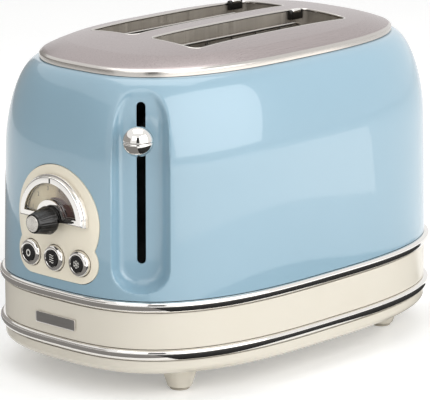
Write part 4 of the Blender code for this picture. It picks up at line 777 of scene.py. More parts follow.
mark_inset = MARK_WIDTH / 8
mark_paint = block(
    (mark_low[0] + mark_inset, WINDOW_RADIUS + mark_inset, mark_low[2] + mark_inset),
    (mark_high[0] - mark_inset, BEZEL_RADIUS - 2 * FLANGE_WIDTH, mark_low[2] + MARK_DEPTH * 0.8),
)
bmesh.ops.transform(mark_paint, matrix=front_place(0, DIAL_Z), verts=mark_paint.verts)


def black_abs_finish():
    """Black ABS, semi-gloss: fine spark-eroded grain, a little grey where fingers have rubbed it."""
    finish, tree, shader = start_finish("black_abs", "#141312", 0.2, IOR=1.5)
    place = add_node(tree, "TexCoord").outputs["Object"]
    rub = add_node(tree, "TexNoise", {"Scale": 1000 / 9, "Detail": 3}, Vector=place)
    vary_surface(tree, shader, rub.outputs["Fac"], ("#100F0E", "#1A1816"), (0.14, 0.26))
    grain = add_node(tree, "TexNoise", {"Scale": 1000 / 0.5}, Vector=place)
    bump = add_node(tree, "Bump", {"Strength": 0.25, "Distance": 0.00003}, Height=grain.outputs["Fac"])
    tree.links.new(bump.outputs["Normal"], shader.inputs["Normal"])
    return finish


black_abs = black_abs_finish()
finish_piece("dial_mark", mark_paint, black_abs, "housing", "black_plastic")


# Dial card: parchment-coloured card printed in browns. A crescent widens and darkens to the right,
# as the toast does, and six plain numbers with ticks stand round the arch.

DIGIT_HEIGHT = 0.0036
DIGIT_RADIUS = 0.0183
TICK_RADIUS = 0.0212
TICK_LENGTH = 0.0009
TICK_WIDTH = 0.00022
INK_LIFT = 0.00008


def printed_card():
    """Coated card: parchment on the left that turns to toasted brown by its bearing round the dial."""
    finish, tree, shader = start_finish("printed_card", "#CDBF9E", 0.55)
    place = add_node(tree, "TexCoord").outputs["Object"]
    axes = add_node(tree, "SeparateXYZ", Vector=place).outputs
    up = add_node(tree, "Math", {"operation": "SUBTRACT", 1: DIAL_Z}, i0=axes["Z"])
    turn = add_node(tree, "Math", {"operation": "ARCTAN2"}, i0=up.outputs[0], i1=axes["Y"])
    bearing = add_node(tree, "Math", {"operation": "DIVIDE", 1: math.pi}, i0=turn.outputs[0])
    toast = add_node(tree, "ValToRGB", i0=bearing.outputs[0])
    ramp = toast.color_ramp
    ramp.elements[0].position, ramp.elements[0].color = 0.0, linear("#BFAF8C")
    ramp.elements[1].position, ramp.elements[1].color = 1.0, linear("#5B4A3E")
    for spot, colour in ((0.30, "#D6C9A8"), (0.52, "#CDBB98"), (0.60, "#93806A"), (0.75, "#6E5C4D")):
        ramp.elements.new(spot).color = linear(colour)
    flat_y = add_node(tree, "Math", {"operation": "POWER", 1: 2.0}, i0=axes["Y"])
    flat_z = add_node(tree, "Math", {"operation": "POWER", 1: 2.0}, i0=up.outputs[0])
    square = add_node(tree, "Math", {"operation": "ADD"}, i0=flat_y.outputs[0], i1=flat_z.outputs[0])
    radius = add_node(tree, "Math", {"operation": "SQRT"}, i0=square.outputs[0])
    crescent_edge = add_node(
        tree,
        "MapRange",
        {"From Min": 0.42, "From Max": 0.95, "To Min": 0.0121, "To Max": 0.0178},
        Value=bearing.outputs[0],
    )
    inside = add_node(
        tree,
        "Math",
        {"operation": "LESS_THAN"},
        i0=radius.outputs[0],
        i1=crescent_edge.outputs["Result"],
    )
    printed = add_node(
        tree,
        "Mix",
        {"data_type": "RGBA", 7: linear("#4A2A22")},
        i0=inside.outputs[0],
        i6=toast.outputs["Color"],
    )
    fibre = add_node(tree, "TexNoise", {"Scale": 1000 / 0.7, "Detail": 2}, Vector=place)
    speck = add_node(tree, "MapRange", {"To Min": 0.93, "To Max": 1.05}, Value=fibre.outputs["Fac"])
    worn = add_node(
        tree,
        "VectorMath",
        {"operation": "SCALE"},
        i0=printed.outputs[2],
        Scale=speck.outputs["Result"],
    )
    tree.links.new(worn.outputs[0], shader.inputs["Base Color"])
    return finish


card = arch_face(WINDOW_RADIUS - CARD_GAP, WINDOW_FOOT + CARD_GAP, WINDOW_INNER_RADIUS + CARD_GAP)
for direction in ((1, 0, 0), (0, 1, 0)):
    cut_strips(card, CARD_STRIP, 12, direction)
bmesh.ops.translate(card, vec=(0, 0, CARD_GAP), verts=card.verts)
thicken(card, CARD_SHEET)
follow_wall(card, PANEL_PROUD)
bmesh.ops.transform(card, matrix=front_place(0, DIAL_Z), verts=card.verts)
finish_piece("dial_card", card, printed_card(), "housing", "scale_card", "dial_scale")


def printing_ink(name, colour, tones, wear_mm):
    """Printing ink: flat, and a touch uneven where it is thin."""
    finish, tree, shader = start_finish(name, colour, 0.5)
    place = add_node(tree, "TexCoord").outputs["Object"]
    wear = add_node(tree, "TexNoise", {"Scale": 1000 / wear_mm}, Vector=place)
    vary_surface(tree, shader, wear.outputs["Fac"], tones)
    return finish


# Printing ink, dark brown and flat, on the coated card
brown_ink = printing_ink("brown_ink", "#3A2A22", ("#33241D", "#46362C"), 0.8)


def curve_mesh(curve):
    """The mesh of a curve or of lettering, as a drawing that can be added to."""
    holder = bpy.data.objects.new(curve.name, curve)
    bpy.context.collection.objects.link(holder)
    holder = holder.evaluated_get(bpy.context.evaluated_depsgraph_get())
    shape = bmesh.new()
    shape.from_mesh(holder.to_mesh())
    holder.to_mesh_clear()
    bpy.data.objects.remove(holder.original)
    return shape


def flat_text(words, height):
    """Plain lettering as a flat mesh drawing, centred on its place."""
    writing = bpy.data.curves.new("lettering", "FONT")
    writing.body = words
    writing.size = height
    writing.align_x, writing.align_y = "CENTER", "CENTER"
    writing.resolution_u = 3
    return curve_mesh(writing)


printing = bmesh.new()
for number in range(1, 7):
    turn = math.radians(180 - (number - 0.5) * 30)
    spot = Matrix.Translation((math.cos(turn) * DIGIT_RADIUS, math.sin(turn) * DIGIT_RADIUS, 0))
    add_shape(printing, flat_text(str(number), DIGIT_HEIGHT), spot)
for step in range(13):
    turn = math.radians(14 + step * 152 / 12)
    length = TICK_LENGTH * (1 if step % 2 else 0.6)
    tick = bmesh.new()
    bmesh.ops.create_grid(tick, x_segments=1, y_segments=1, size=0.5)
    bmesh.ops.scale(tick, vec=(length, TICK_WIDTH, 1), verts=tick.verts)
    place = Matrix.Rotation(turn, 4, "Z") @ Matrix.Translation((TICK_RADIUS, 0, 0))
    add_shape(printing, tick, place)
bmesh.ops.translate(printing, vec=(0, 0, CARD_GAP + CARD_SHEET + INK_LIFT), verts=printing.verts)
follow_wall(printing, PANEL_PROUD)
bmesh.ops.transform(printing, matrix=front_place(0, DIAL_Z), verts=printing.verts)
finish_piece("dial_numbers", printing, brown_ink, "housing", "scale_card")


# Knob: a fluted black cone with a spun aluminium disc let into its end, and the thin needle that
# turns with it. The shaft behind is plain zinc-plated steel.

KNOB_BACK = face_out + BEZEL_HEIGHT + 0.0013
KNOB_LENGTH = 0.0127
KNOB_EDGE = 0.0008
KNOB_BASE_RADIUS = 0.0086
KNOB_FRONT_RADIUS = 0.0060
KNOB_BORE_RADIUS = 0.0034
KNOB_BORE_DEPTH = 0.0085
RECESS_RADIUS = 0.0052
RECESS_DEPTH = 0.0004
KNOB_ROUND_SHARE = 0.3
FLUTE_INNER_RADIUS = 0.0053
FLUTE_FADE = 0.0012
FLUTES = 24
FLUTE_DEPTH = 0.00014
CAP_RADIUS = 0.0049
CAP_HEIGHT = 0.0006
CAP_GAP = 0.0003
POINTER_TURN = math.radians(4)
POINTER_DISC_RADIUS = 0.0080
POINTER_REACH = 0.0195
POINTER_TIP_WIDTH = 0.0010
POINTER_SHEET = 0.0006
POINTER_GAP = 0.0004
POINTER_CUT = 0.01

knob_side = []
for step in range(13):
    height = KNOB_EDGE + (KNOB_LENGTH - 2 * KNOB_EDGE) * step / 12
    share = step / 12
    knob_side.append((KNOB_BASE_RADIUS + (KNOB_FRONT_RADIUS - KNOB_BASE_RADIUS) * share, height))
knob_profile = (
    [(KNOB_BORE_RADIUS, KNOB_BORE_DEPTH), (KNOB_BORE_RADIUS, 0), (KNOB_BASE_RADIUS - KNOB_EDGE, 0)]
    + [(KNOB_BASE_RADIUS - KNOB_EDGE * KNOB_ROUND_SHARE, KNOB_EDGE * KNOB_ROUND_SHARE)]
    + knob_side
    + [(KNOB_FRONT_RADIUS - KNOB_EDGE * KNOB_ROUND_SHARE, KNOB_LENGTH - KNOB_EDGE * KNOB_ROUND_SHARE)]
    + [(KNOB_FRONT_RADIUS - KNOB_EDGE, KNOB_LENGTH)]
    + [(RECESS_RADIUS, KNOB_LENGTH), (RECESS_RADIUS, KNOB_LENGTH - RECESS_DEPTH)]
    + [(0, KNOB_LENGTH - RECESS_DEPTH), (0, KNOB_BORE_DEPTH)]
)
knob = turn_profile(knob_profile, 8 * FLUTES, closed=True)
for corner in knob.verts:
    reach = math.hypot(corner.co.x, corner.co.y)
    fade = min(corner.co.z - KNOB_EDGE, KNOB_LENGTH - KNOB_EDGE - corner.co.z) / FLUTE_FADE
    if reach > FLUTE_INNER_RADIUS and fade > 0:
        turn = math.atan2(corner.co.y, corner.co.x)
        groove = FLUTE_DEPTH * min(fade, 1) * (0.5 + 0.5 * math.cos(FLUTES * turn)) ** 2
        corner.co.xy *= (reach - groove) / reach
bmesh.ops.transform(knob, matrix=front_place(KNOB_BACK, DIAL_Z), verts=knob.verts)
finish_piece("fluted_knob", knob, black_abs, "dial", "black_plastic", "browning_knob")


def spun_aluminium():
    """Spun aluminium: fine rings turned in the lathe draw the light out into two soft fans."""
    finish, tree, shader = start_finish("spun_aluminium", "#E6E2DB", 0.2, Metallic=1.0)
    place = add_node(tree, "TexCoord").outputs["Object"]
    centred = add_node(tree, "Mapping", {"Location": (0, 0, -DIAL_Z)}, Vector=place)
    flat = add_node(tree, "VectorMath", {"operation": "MULTIPLY", 1: (0, 1, 1)}, i0=centred.outputs[0])
    radius = add_node(tree, "VectorMath", {"operation": "LENGTH"}, i0=flat.outputs[0])
    rings = add_node(
        tree,
        "Math",
        {"operation": "SINE"},
        i0=add_node(
            tree,
            "Math",
            {"operation": "MULTIPLY", 1: 2 * math.pi * 1000 / 0.35},
            i0=radius.outputs["Value"],
        ).outputs[0],
    )
    vary_surface(tree, shader, rings.outputs[0], relief=(0.35, 0.00002))
    return finish


cap_back = KNOB_LENGTH - RECESS_DEPTH + CAP_GAP
cap_profile = [
    (0, cap_back),
    (CAP_RADIUS, cap_back),
    (CAP_RADIUS, cap_back + CAP_HEIGHT * 0.7),
    (CAP_RADIUS - CAP_HEIGHT * 0.4, cap_back + CAP_HEIGHT),
    (0, cap_back + CAP_HEIGHT),
]
cap = turn_profile(cap_profile, 64)
bmesh.ops.transform(cap, matrix=front_place(KNOB_BACK, DIAL_Z), verts=cap.verts)
finish_piece("silver_cap", cap, spun_aluminium(), "dial", "chrome", "knob_cap")

pointer = bmesh.new()
bmesh.ops.create_circle(pointer, cap_ends=True, radius=POINTER_DISC_RADIUS, segments=24)
half_step = Matrix.Rotation(math.pi / 24, 3, "Z")
bmesh.ops.rotate(pointer, cent=(0, 0, 0), matrix=half_step, verts=pointer.verts)
needle_root = max(pointer.edges, key=lambda edge: edge.verts[0].co.x + edge.verts[1].co.x)
needle = bmesh.ops.extrude_edge_only(pointer, edges=[needle_root])["geom"]
tip = [item for item in needle if isinstance(item, bmesh.types.BMVert)]
tip_width = abs(tip[0].co.y - tip[1].co.y)
bmesh.ops.translate(pointer, vec=(POINTER_REACH - tip[0].co.x, 0, 0), verts=tip)
bmesh.ops.scale(pointer, vec=(1, POINTER_TIP_WIDTH / tip_width, 1), verts=tip)
bmesh.ops.recalc_face_normals(pointer, faces=pointer.faces)
if pointer.faces[:][0].normal.z < 0:
    bmesh.ops.reverse_faces(pointer, faces=pointer.faces)
soften(pointer, POINTER_SHEET / 5, 2, 50, thicken(pointer, POINTER_SHEET))
pointer = cut_out(pointer, round_bar(KNOB_BORE_RADIUS, -POINTER_CUT, POINTER_CUT))
pointer_out = face_out + BEZEL_HEIGHT + POINTER_GAP
turned = front_place(pointer_out, DIAL_Z) @ Matrix.Rotation(POINTER_TURN, 4, "Z")
bmesh.ops.transform(pointer, matrix=turned, verts=pointer.verts)
finish_piece("dial_needle", pointer, black_abs, "dial", "black_plastic", "knob_pointer")


# Push buttons: three domed chrome caps with a dark insert, each printed with a plain white sign:
# a ring to stop, waves to warm up, and a snow star to thaw.

BUTTON_PROUD = 0.0028
BUTTON_BODY = 0.0062
BUTTON_DOME = 0.0020
STEM_RADIUS = 0.0025
STEM_LENGTH = 0.0040
INSERT_RADIUS = 0.0050
INSERT_HEIGHT = 0.0016
INSERT_PROUD = 0.0003
SIGN_LIFT = 0.00004
INSERT_EDGE = 0.0002
POCKET_RADIUS = 0.0053
POCKET_RIM_RADIUS = 0.0055
POCKET_GAP = 0.0003
RING_RADII = (0.0011, 0.0018)
RING_HEIGHT_SHARE = 1.25
WAVE_LEVELS = (-0.0021, -0.0007, 0.0007, 0.0021)
WAVE_SIZE = (0.0034, 0.0005, 0.0003)
STAR_ARM = (0.0024, 0.0005)
STAR_BARB = (0.001, 0.0004)
BARB_PLACE = (0.0004, 0.0019)

# White printing ink: flat, a touch grey where it is thin
white_ink = printing_ink("white_ink", "#E8E5DE", ("#F0EEE8", "#D2CEC6"), 0.5)


def stroke(length, width, bend=0.0, steps=12):
    """A flat stroke along Y, waved sideways by a bend."""
    shape = bmesh.new()
    bmesh.ops.create_grid(shape, x_segments=1, y_segments=steps, size=0.5)
    bmesh.ops.scale(shape, vec=(width, length, 1), verts=shape.verts)
    for corner in shape.verts:
        corner.co.x += bend * math.sin(2 * math.pi * corner.co.y / length)
    return shape


def stop_sign():
    """A tall ring."""
    shape = bmesh.new()
    for radius in RING_RADII:
        bmesh.ops.create_circle(shape, radius=radius, segments=32)
    bmesh.ops.bridge_loops(shape, edges=shape.edges[:])
    bmesh.ops.scale(shape, vec=(1, RING_HEIGHT_SHARE, 1), verts=shape.verts)
    return shape


def warm_sign():
    """Waves of warmth, one over the other."""
    shape = bmesh.new()
    for level in WAVE_LEVELS:
        spot = Matrix.Translation((0, level, 0)) @ Matrix.Rotation(math.pi / 2, 4, "Z")
        add_shape(shape, stroke(*WAVE_SIZE), spot)
    return shape


def thaw_sign():
    """A star of six arms, each with two barbs."""
    shape = bmesh.new()
    for arm in range(6):
        turn = Matrix.Rotation(arm * math.pi / 3, 4, "Z")
        add_shape(shape, stroke(*STAR_ARM), turn @ Matrix.Translation((0, STAR_ARM[0] / 2, 0)))
        for side in (-1, 1):
            barb = Matrix.Translation((side * BARB_PLACE[0], BARB_PLACE[1], 0))
            barb = barb @ Matrix.Rotation(-side * math.pi / 4, 4, "Z")
            add_shape(shape, stroke(*STAR_BARB), turn @ barb)
    return shape


insert_profile = [
    (0, 0),
    (INSERT_RADIUS, 0),
    (INSERT_RADIUS, INSERT_HEIGHT - INSERT_EDGE),
    (INSERT_RADIUS - INSERT_EDGE, INSERT_HEIGHT),
    (0, INSERT_HEIGHT),
]
insert_back = BUTTON_PROUD + INSERT_PROUD - INSERT_HEIGHT
pocket = insert_back - POCKET_GAP
cap_line = [(0, pocket), (POCKET_RADIUS, pocket), (POCKET_RADIUS, BUTTON_PROUD - INSERT_EDGE)]
cap_line.append((POCKET_RIM_RADIUS, BUTTON_PROUD))
for degrees in range(90, -1, -15):
    turn = math.radians(degrees)
    radius = BUTTON_RADIUS - BUTTON_DOME * (1 - math.cos(turn))
    cap_line.append((radius, BUTTON_PROUD - BUTTON_DOME * (1 - math.sin(turn))))
body_back = BUTTON_PROUD - BUTTON_BODY
cap_line += [(BUTTON_RADIUS, body_back), (STEM_RADIUS, body_back)]
cap_line += [(STEM_RADIUS, body_back - STEM_LENGTH), (0, body_back - STEM_LENGTH)]
button_face = WALL_HALF_LENGTH + PANEL_PROUD - lean_in(BUTTON_Z)
for number, use, sign in ((-1, "cancel", stop_sign), (0, "reheat", warm_sign), (1, "defrost", thaw_sign)):
    across = number * BUTTON_PITCH
    fall = 1 - (1 - abs(across / WALL_HALF_WIDTH) ** WALL_POWER) ** (1 / WALL_POWER)
    out = button_face - WALL_HALF_LENGTH * fall
    place = front_place(out, BUTTON_Z) @ Matrix.Translation((across, 0, 0))
    body = f"button_{use}"
    cap = turn_profile(cap_line, 64)
    bmesh.ops.transform(cap, matrix=place, verts=cap.verts)
    finish_piece(f"chrome_cap_{use}", cap, chrome, body, "chrome", f"button_{use}")
    insert = turn_profile(insert_profile, 64)
    lifted = place @ Matrix.Translation((0, 0, insert_back))
    bmesh.ops.transform(insert, matrix=lifted, verts=insert.verts)
    finish_piece(f"dark_insert_{use}", insert, black_abs, body, "black_plastic", f"button_insert_{use}")
    mark = sign()
    lifted = place @ Matrix.Translation((0, 0, insert_back + INSERT_HEIGHT + SIGN_LIFT))
    bmesh.ops.transform(mark, matrix=lifted, verts=mark.verts)
    finish_piece(f"sign_{use}", mark, white_ink, body, "cream_plastic")


# Badge: a small stamped plate on the base, with a bright raised frame round a grey brushed field.
# Its field is left plain.

BADGE_LENGTH = 0.0330
BADGE_HEIGHT = 0.0068
BADGE_Z = 0.0415
BADGE_SHEET = 0.0010
BADGE_FRAME = 0.0009
BADGE_SINK = 0.0003
BADGE_CORNER = 0.0009
BADGE_GAP = 0.0003


def brushed_metal(name, colour, shade, roughness, line_mm, direction):
    """Brushed sheet: fine lines one way that stretch the highlights, over a slightly uneven tone."""
    finish, tree, shader = start_finish(name, colour, roughness, Metallic=1.0)
    place = add_node(tree, "TexCoord").outputs["Object"]
    stretch = [1000 / line_mm] * 3
    stretch[direction] = 1000 / (line_mm * 90)
    drawn = add_node(tree, "VectorMath", {"operation": "MULTIPLY", 1: stretch}, i0=place)
    lines = add_node(tree, "TexNoise", {"Scale": 1.0, "Detail": 3}, Vector=drawn.outputs[0])
    gloss, relief = (roughness * 0.8, roughness * 1.25), (0.25, 0.00003)
    vary_surface(tree, shader, lines.outputs["Fac"], (shade, colour), gloss, (0.3, 0.7), relief)
    return finish


bright_steel = brushed_metal("bright_steel", "#CFCBC6", "#BDB8B3", 0.2, 0.25, 1)
badge_steel = brushed_metal("badge_steel", "#B3B0AE", "#989593", 0.42, 0.18, 1)
badge_rim = brushed_metal("badge_rim", "#EFECE8", "#DEDBD7", 0.55, 0.2, 1)

badge = bmesh.new()
bmesh.ops.create_grid(badge, x_segments=1, y_segments=1, size=0.5)
bmesh.ops.scale(badge, vec=(BADGE_LENGTH, BADGE_HEIGHT, 1), verts=badge.verts)
bmesh.ops.bevel(
    badge,
    geom=badge.verts[:],
    offset=BADGE_CORNER,
    affect="VERTICES",
    segments=4,
    profile=0.5,
    material=-1,
)
bmesh.ops.inset_region(badge, faces=badge.faces[:], thickness=BADGE_FRAME)
thicken(badge, BADGE_SHEET)
badge.normal_update()
field = [max(badge.faces, key=lambda face: face.calc_area() * face.normal.z)]
bmesh.ops.inset_region(badge, faces=field, thickness=BADGE_SINK, depth=-BADGE_SINK)
for face in field:
    face.material_index = 1
bmesh.ops.translate(badge, vec=(0, 0, WALL_HALF_LENGTH + BADGE_GAP), verts=badge.verts)
bmesh.ops.transform(badge, matrix=front_place(0, BADGE_Z), verts=badge.verts)
badge_piece = finish_piece("plain_badge", badge, badge_rim, "housing", "badge_metal", "badge_plate")
badge_piece.data.materials.append(badge_steel)


# Lever ball: a hollow chromed ball in two halves, with a fine seam round its middle. The flat arm
# behind it passes through the slot to the carriage.

BALL_RADIUS = 0.0090
BALL_Z = 0.1590
BALL_STAND_OFF = 0.0120
SEAM_DEPTH = 0.00025

ball_line = []
for step in range(-44, 45):
    turn = math.radians(step * 90 / 44)
    depth = SEAM_DEPTH if abs(step) <= 1 else 0
    ball_line.append(((BALL_RADIUS - depth) * math.cos(turn), BALL_RADIUS * math.sin(turn)))
ball_line[0], ball_line[-1] = (0, -BALL_RADIUS), (0, BALL_RADIUS)
ball = turn_profile(ball_line, 72)
ball_out = BALL_STAND_OFF + BALL_RADIUS - DENT_DEPTH - lean_in(BALL_Z)
ball_place = LEVER_AXES @ Matrix.Translation((0, ball_out, BALL_Z))
bmesh.ops.transform(ball, matrix=ball_place, verts=ball.verts)
finish_piece("chrome_ball", ball, chrome, "lever", "chrome", "lever_ball", crease=50)


# Top plate: satin stainless steel drawn to a shallow crown. A soft crease parts its brushed top
# from the skirt, which falls to an upright bright rim; two long slots have deep collars.

PLATE_FOOT_Z = 0.1907
PLATE_TOP_Z = 0.2045
PLATE_SHEET = 0.0010
RIM_HEIGHT = 0.0035
RIM_ROUND = 0.0011
CREASE_SHARE = 0.846
CREASE_DROP = 0.0044
CROWN_POWER = 3.4
SLOT_LENGTH = 0.1394
SLOT_WIDTH = 0.0391
SLOT_PITCH = 0.0515
SLOT_CORNER = 0.0060
LIP_RADIUS = 0.0008
LIP_SINK_SHARE = 0.7
CORE_DROP = 0.004
SLOT_CUT_Z = (0.18, 0.21)
POLISHED_SHARE = 0.985
COLLAR_SLOPE = 0.3
WIRE_MERGE = 0.00001


def top_share(place):
    """How far out from the plate's middle towards its brim a place lies, as a share."""
    swell = abs(place.x / TOP_HALF_LENGTH) ** WALL_POWER + abs(place.y / TOP_HALF_WIDTH) ** WALL_POWER
    return swell ** (1 / WALL_POWER)


def crown_z(share):
    """The plate's height at a share of the way out from its middle."""
    rim_z = PLATE_FOOT_Z + RIM_HEIGHT
    if share <= CREASE_SHARE:
        return PLATE_TOP_Z - CREASE_DROP * (share / CREASE_SHARE) ** CROWN_POWER
    fall = (share - CREASE_SHARE) / (1 - CREASE_SHARE)
    crease_z = PLATE_TOP_Z - CREASE_DROP
    return crease_z - (crease_z - rim_z) * (0.75 * fall + 0.25 * fall ** 2)


def plate_sizes(inset):
    """Rings up the rim, round its edge and over the crown, on the surface or inset under it."""
    length, width = TOP_HALF_LENGTH - inset, TOP_HALF_WIDTH - inset
    rim_z = PLATE_FOOT_Z + RIM_HEIGHT - inset
    sizes = [(length, width, PLATE_FOOT_Z), (length, width, rim_z - RIM_ROUND)]
    for degrees in (20, 40, 60):
        turn = math.radians(degrees)
        back = RIM_ROUND * (1 - math.cos(turn))
        sizes.append((length - back, width - back, rim_z - RIM_ROUND * (1 - math.sin(turn))))
    shares = [0.985, 0.965, 0.94, 0.91, 0.88, 0.858, 0.849, CREASE_SHARE, 0.843, 0.835]
    shares += [0.81, 0.78, 0.74, 0.69, 0.63, 0.56, 0.48, 0.38, 0.26, 0.13]
    sizes += [(length * share, width * share, crown_z(share) - inset) for share in shares]
    return sizes


def rounded_face(length, width, corner):
    """A flat rectangle with round corners."""
    shape = bmesh.new()
    bmesh.ops.create_grid(shape, x_segments=1, y_segments=1, size=0.5)
    bmesh.ops.scale(shape, vec=(length, width, 1), verts=shape.verts)
    bmesh.ops.bevel(
        shape,
        geom=shape.verts[:],
        offset=corner,
        affect="VERTICES",
        segments=10,
        profile=0.5,
        material=-1,
    )
    return shape


def bread_slot(side, grow, low, high):
    """An upright block the size of a bread slot, grown all round."""
    shape = rounded_face(SLOT_LENGTH + 2 * grow, SLOT_WIDTH + 2 * grow, SLOT_CORNER + grow)
    thicken(shape, high - low)
    bmesh.ops.translate(shape, vec=(0, side * SLOT_PITCH / 2, low), verts=shape.verts)
    return shape


def closed_crown(inset, foot_z):
    """The solid under the plate's surface, or under a surface inset from it, down to a height."""
    sizes = plate_sizes(inset)
    shape = bmesh.new()
    brim = start_outline(shape, *sizes[0][:2], WALL_POWER, foot_z)
    last = pull_profile(shape, brim, [(*sizes[0][:2], foot_z)] + sizes[1:])
    bmesh.ops.edgeloop_fill(shape, edges=list(last))
    bmesh.ops.edgeloop_fill(shape, edges=list(brim))
    bmesh.ops.recalc_face_normals(shape, faces=shape.faces)
    return shape


brushed_steel = brushed_metal("brushed_steel", "#AFA5A4", "#9F9594", 0.3, 0.3, 0)
# The collar walls get a lighter steel than the top: painted light, standing in for the top soft box's light
# on them
collar_steel_painted_light = brushed_metal("collar_steel_painted_light", "#C9C2B8", "#A59E94", 0.5, 0.6, 2)
core = closed_crown(PLATE_SHEET, PLATE_FOOT_Z - CORE_DROP)
core = cut_out(core, *(bread_slot(side, PLATE_SHEET, *SLOT_CUT_Z) for side in (-1, 1)))
plate = closed_crown(0, PLATE_FOOT_Z)
plate = cut_out(plate, core, *(bread_slot(side, 0, *SLOT_CUT_Z) for side in (-1, 1)))
# The rim lip takes the bright steel; the collar walls take the lighter steel, whose extra lightness is
# painted light
for face in plate.faces:
    middle = face.calc_center_median()
    if top_share(middle) > POLISHED_SHARE:
        face.material_index = 1
    elif abs(face.normal.z) < COLLAR_SLOPE:
        face.material_index = 2
plate_piece = finish_piece(
    "steel_top", plate, brushed_steel, "housing", "satin_steel", "top_plate", crease=28
)
plate_piece.data.materials.append(bright_steel)
plate_piece.data.materials.append(collar_steel_painted_light)


def bent_wire(points, radius, cyclic=False, sides=6):
    """A round wire along straight runs between points, as a drawing that can be added to."""
    line = bpy.data.curves.new("wire", "CURVE")
    line.dimensions = "3D"
    line.bevel_depth = radius
    line.bevel_resolution = sides // 2
    line.use_fill_caps = True
    spline = line.splines.new("POLY")
    spline.points.add(len(points) - 1)
    for point, place in zip(spline.points, points):
        point.co = (*place, 1)
    spline.use_cyclic_u = cyclic
    shape = curve_mesh(line)
    bmesh.ops.remove_doubles(shape, verts=shape.verts, dist=WIRE_MERGE)
    return shape


for side, hand in ((1, "left"), (-1, "right")):
    outline = rounded_face(SLOT_LENGTH, SLOT_WIDTH, SLOT_CORNER)
    runs = [edge for edge in outline.edges if edge.calc_length() > SLOT_CORNER]
    bmesh.ops.subdivide_edges(outline, edges=runs, cuts=24)
    loop = [corner.co + Vector((0, side * SLOT_PITCH / 2, 0)) for corner in outline.faces[:][0].verts]
    outline.free()
    points = []
    for spot in loop:
        points.append((spot.x, spot.y, crown_z(top_share(spot)) - LIP_RADIUS * LIP_SINK_SHARE))
    finish_piece(
        f"slot_lip_{hand}", bent_wire(points, LIP_RADIUS, cyclic=True), bright_steel, "housing", "satin_steel"
    )


# Slot clips: a bright cap over a black spring clip at the left wall of each slot, near its rear
# end. They stand on the collar and hold the heater board behind it.

CLIP_X = 0.0560
CLIP_LENGTH = 0.0120
CLIP_FOOT_Z = 0.1974
CLIP_TOP_Z = 0.2036
CLIP_DEPTH = 0.0030
CLIP_EDGE = 0.0008
CLIP_CAP_INSET = 0.0020
CLIP_CAP_LAP = 0.0002
CLIP_CAP_DEPTH = 0.0022
CLIP_CAP_PROUD = 0.0004
CLIP_CAP_EDGE = 0.0009

for side, hand in ((1, "left"), (-1, "right")):
    high_y = side * SLOT_PITCH / 2 + SLOT_WIDTH / 2
    low_y = high_y - CLIP_DEPTH
    clip = block((CLIP_X, low_y, CLIP_FOOT_Z), (CLIP_X + CLIP_LENGTH, high_y, CLIP_TOP_Z))
    soften(clip, CLIP_EDGE)
    finish_piece(f"clip_{hand}", clip, black_abs, "housing", "black_plastic")
    cap_block = block(
        (CLIP_X + CLIP_CAP_INSET, low_y - CLIP_CAP_LAP, CLIP_TOP_Z - CLIP_CAP_DEPTH),
        (CLIP_X + CLIP_LENGTH - CLIP_CAP_INSET, high_y + CLIP_CAP_LAP, CLIP_TOP_Z + CLIP_CAP_PROUD),
    )
    soften(cap_block, CLIP_CAP_EDGE)
    finish_piece(f"clip_cap_{hand}", cap_block, chrome, "housing", "chrome")


# Bread guides: cages of bright steel wire that lean in and hold the slice. The top wire of each
# runs the length of the slot, and its ends bend down to the pivot at the foot.

GUIDE_WIRE_RADIUS = 0.0009
GUIDE_PIVOT_Z = 0.0490
GUIDE_TOP_Z = 0.1955
GUIDE_HALF_LENGTH = 0.0660
GUIDE_PIVOT_REACH = 0.0781
GUIDE_OFFSET = 0.0160
GUIDE_BEND = 0.0073
GUIDE_BARS = 5

for side, hand in ((1, "left"), (-1, "right")):
    for offset, place_name in ((GUIDE_OFFSET, "outer"), (-GUIDE_OFFSET, "inner")):
        y = side * (SLOT_PITCH / 2 + offset)
        arch = [(-GUIDE_HALF_LENGTH, y, GUIDE_PIVOT_Z)]
        for end in (-1, 1):
            middle_x, middle_z = end * (GUIDE_HALF_LENGTH - GUIDE_BEND), GUIDE_TOP_Z - GUIDE_BEND
            for step in range(7):
                turn = math.radians((step if end > 0 else 6 - step) * 15)
                reach_x, reach_z = math.sin(turn) * GUIDE_BEND, math.cos(turn) * GUIDE_BEND
                arch.append((middle_x + end * reach_x, y, middle_z + reach_z))
        arch.append((GUIDE_HALF_LENGTH, y, GUIDE_PIVOT_Z))
        guide = bent_wire(arch, GUIDE_WIRE_RADIUS)
        axle = ((-GUIDE_PIVOT_REACH, y, GUIDE_PIVOT_Z), (GUIDE_PIVOT_REACH, y, GUIDE_PIVOT_Z))
        add_shape(guide, bent_wire(axle, GUIDE_WIRE_RADIUS))
        pitch = 2 * GUIDE_HALF_LENGTH / (GUIDE_BARS + 1)
        for number in range(1, GUIDE_BARS + 1):
            bar_x = -GUIDE_HALF_LENGTH + pitch * number
            bar = ((bar_x, y, GUIDE_PIVOT_Z), (bar_x, y, GUIDE_TOP_Z))
            add_shape(guide, bent_wire(bar, GUIDE_WIRE_RADIUS))
        node = f"bread_guide_{hand}_{place_name}"
        finish_piece(f"wire_{node}", guide, bright_steel, node, "chrome", node)


# Works: the folded sheet steel that carries everything, the carriage that the lever moves, the
# mica heater boards, and the electric parts behind the panel.


def zinc_sheet():
    """Galvanised sheet: dull zinc with the large faint crystals that set as it cooled."""
    finish, tree, shader = start_finish("zinc_sheet", "#A9ABAD", 0.42, Metallic=1.0)
    place = add_node(tree, "TexCoord").outputs["Object"]
    crystal = add_node(tree, "TexVoronoi", {"Scale": 1000 / 7}, Vector=place)
    vary_surface(tree, shader, crystal.outputs["Color"], gloss=(0.34, 0.52))
    vary_surface(tree, shader, crystal.outputs["Distance"], ("#9FA1A3", "#B4B6B7"))
    return finish


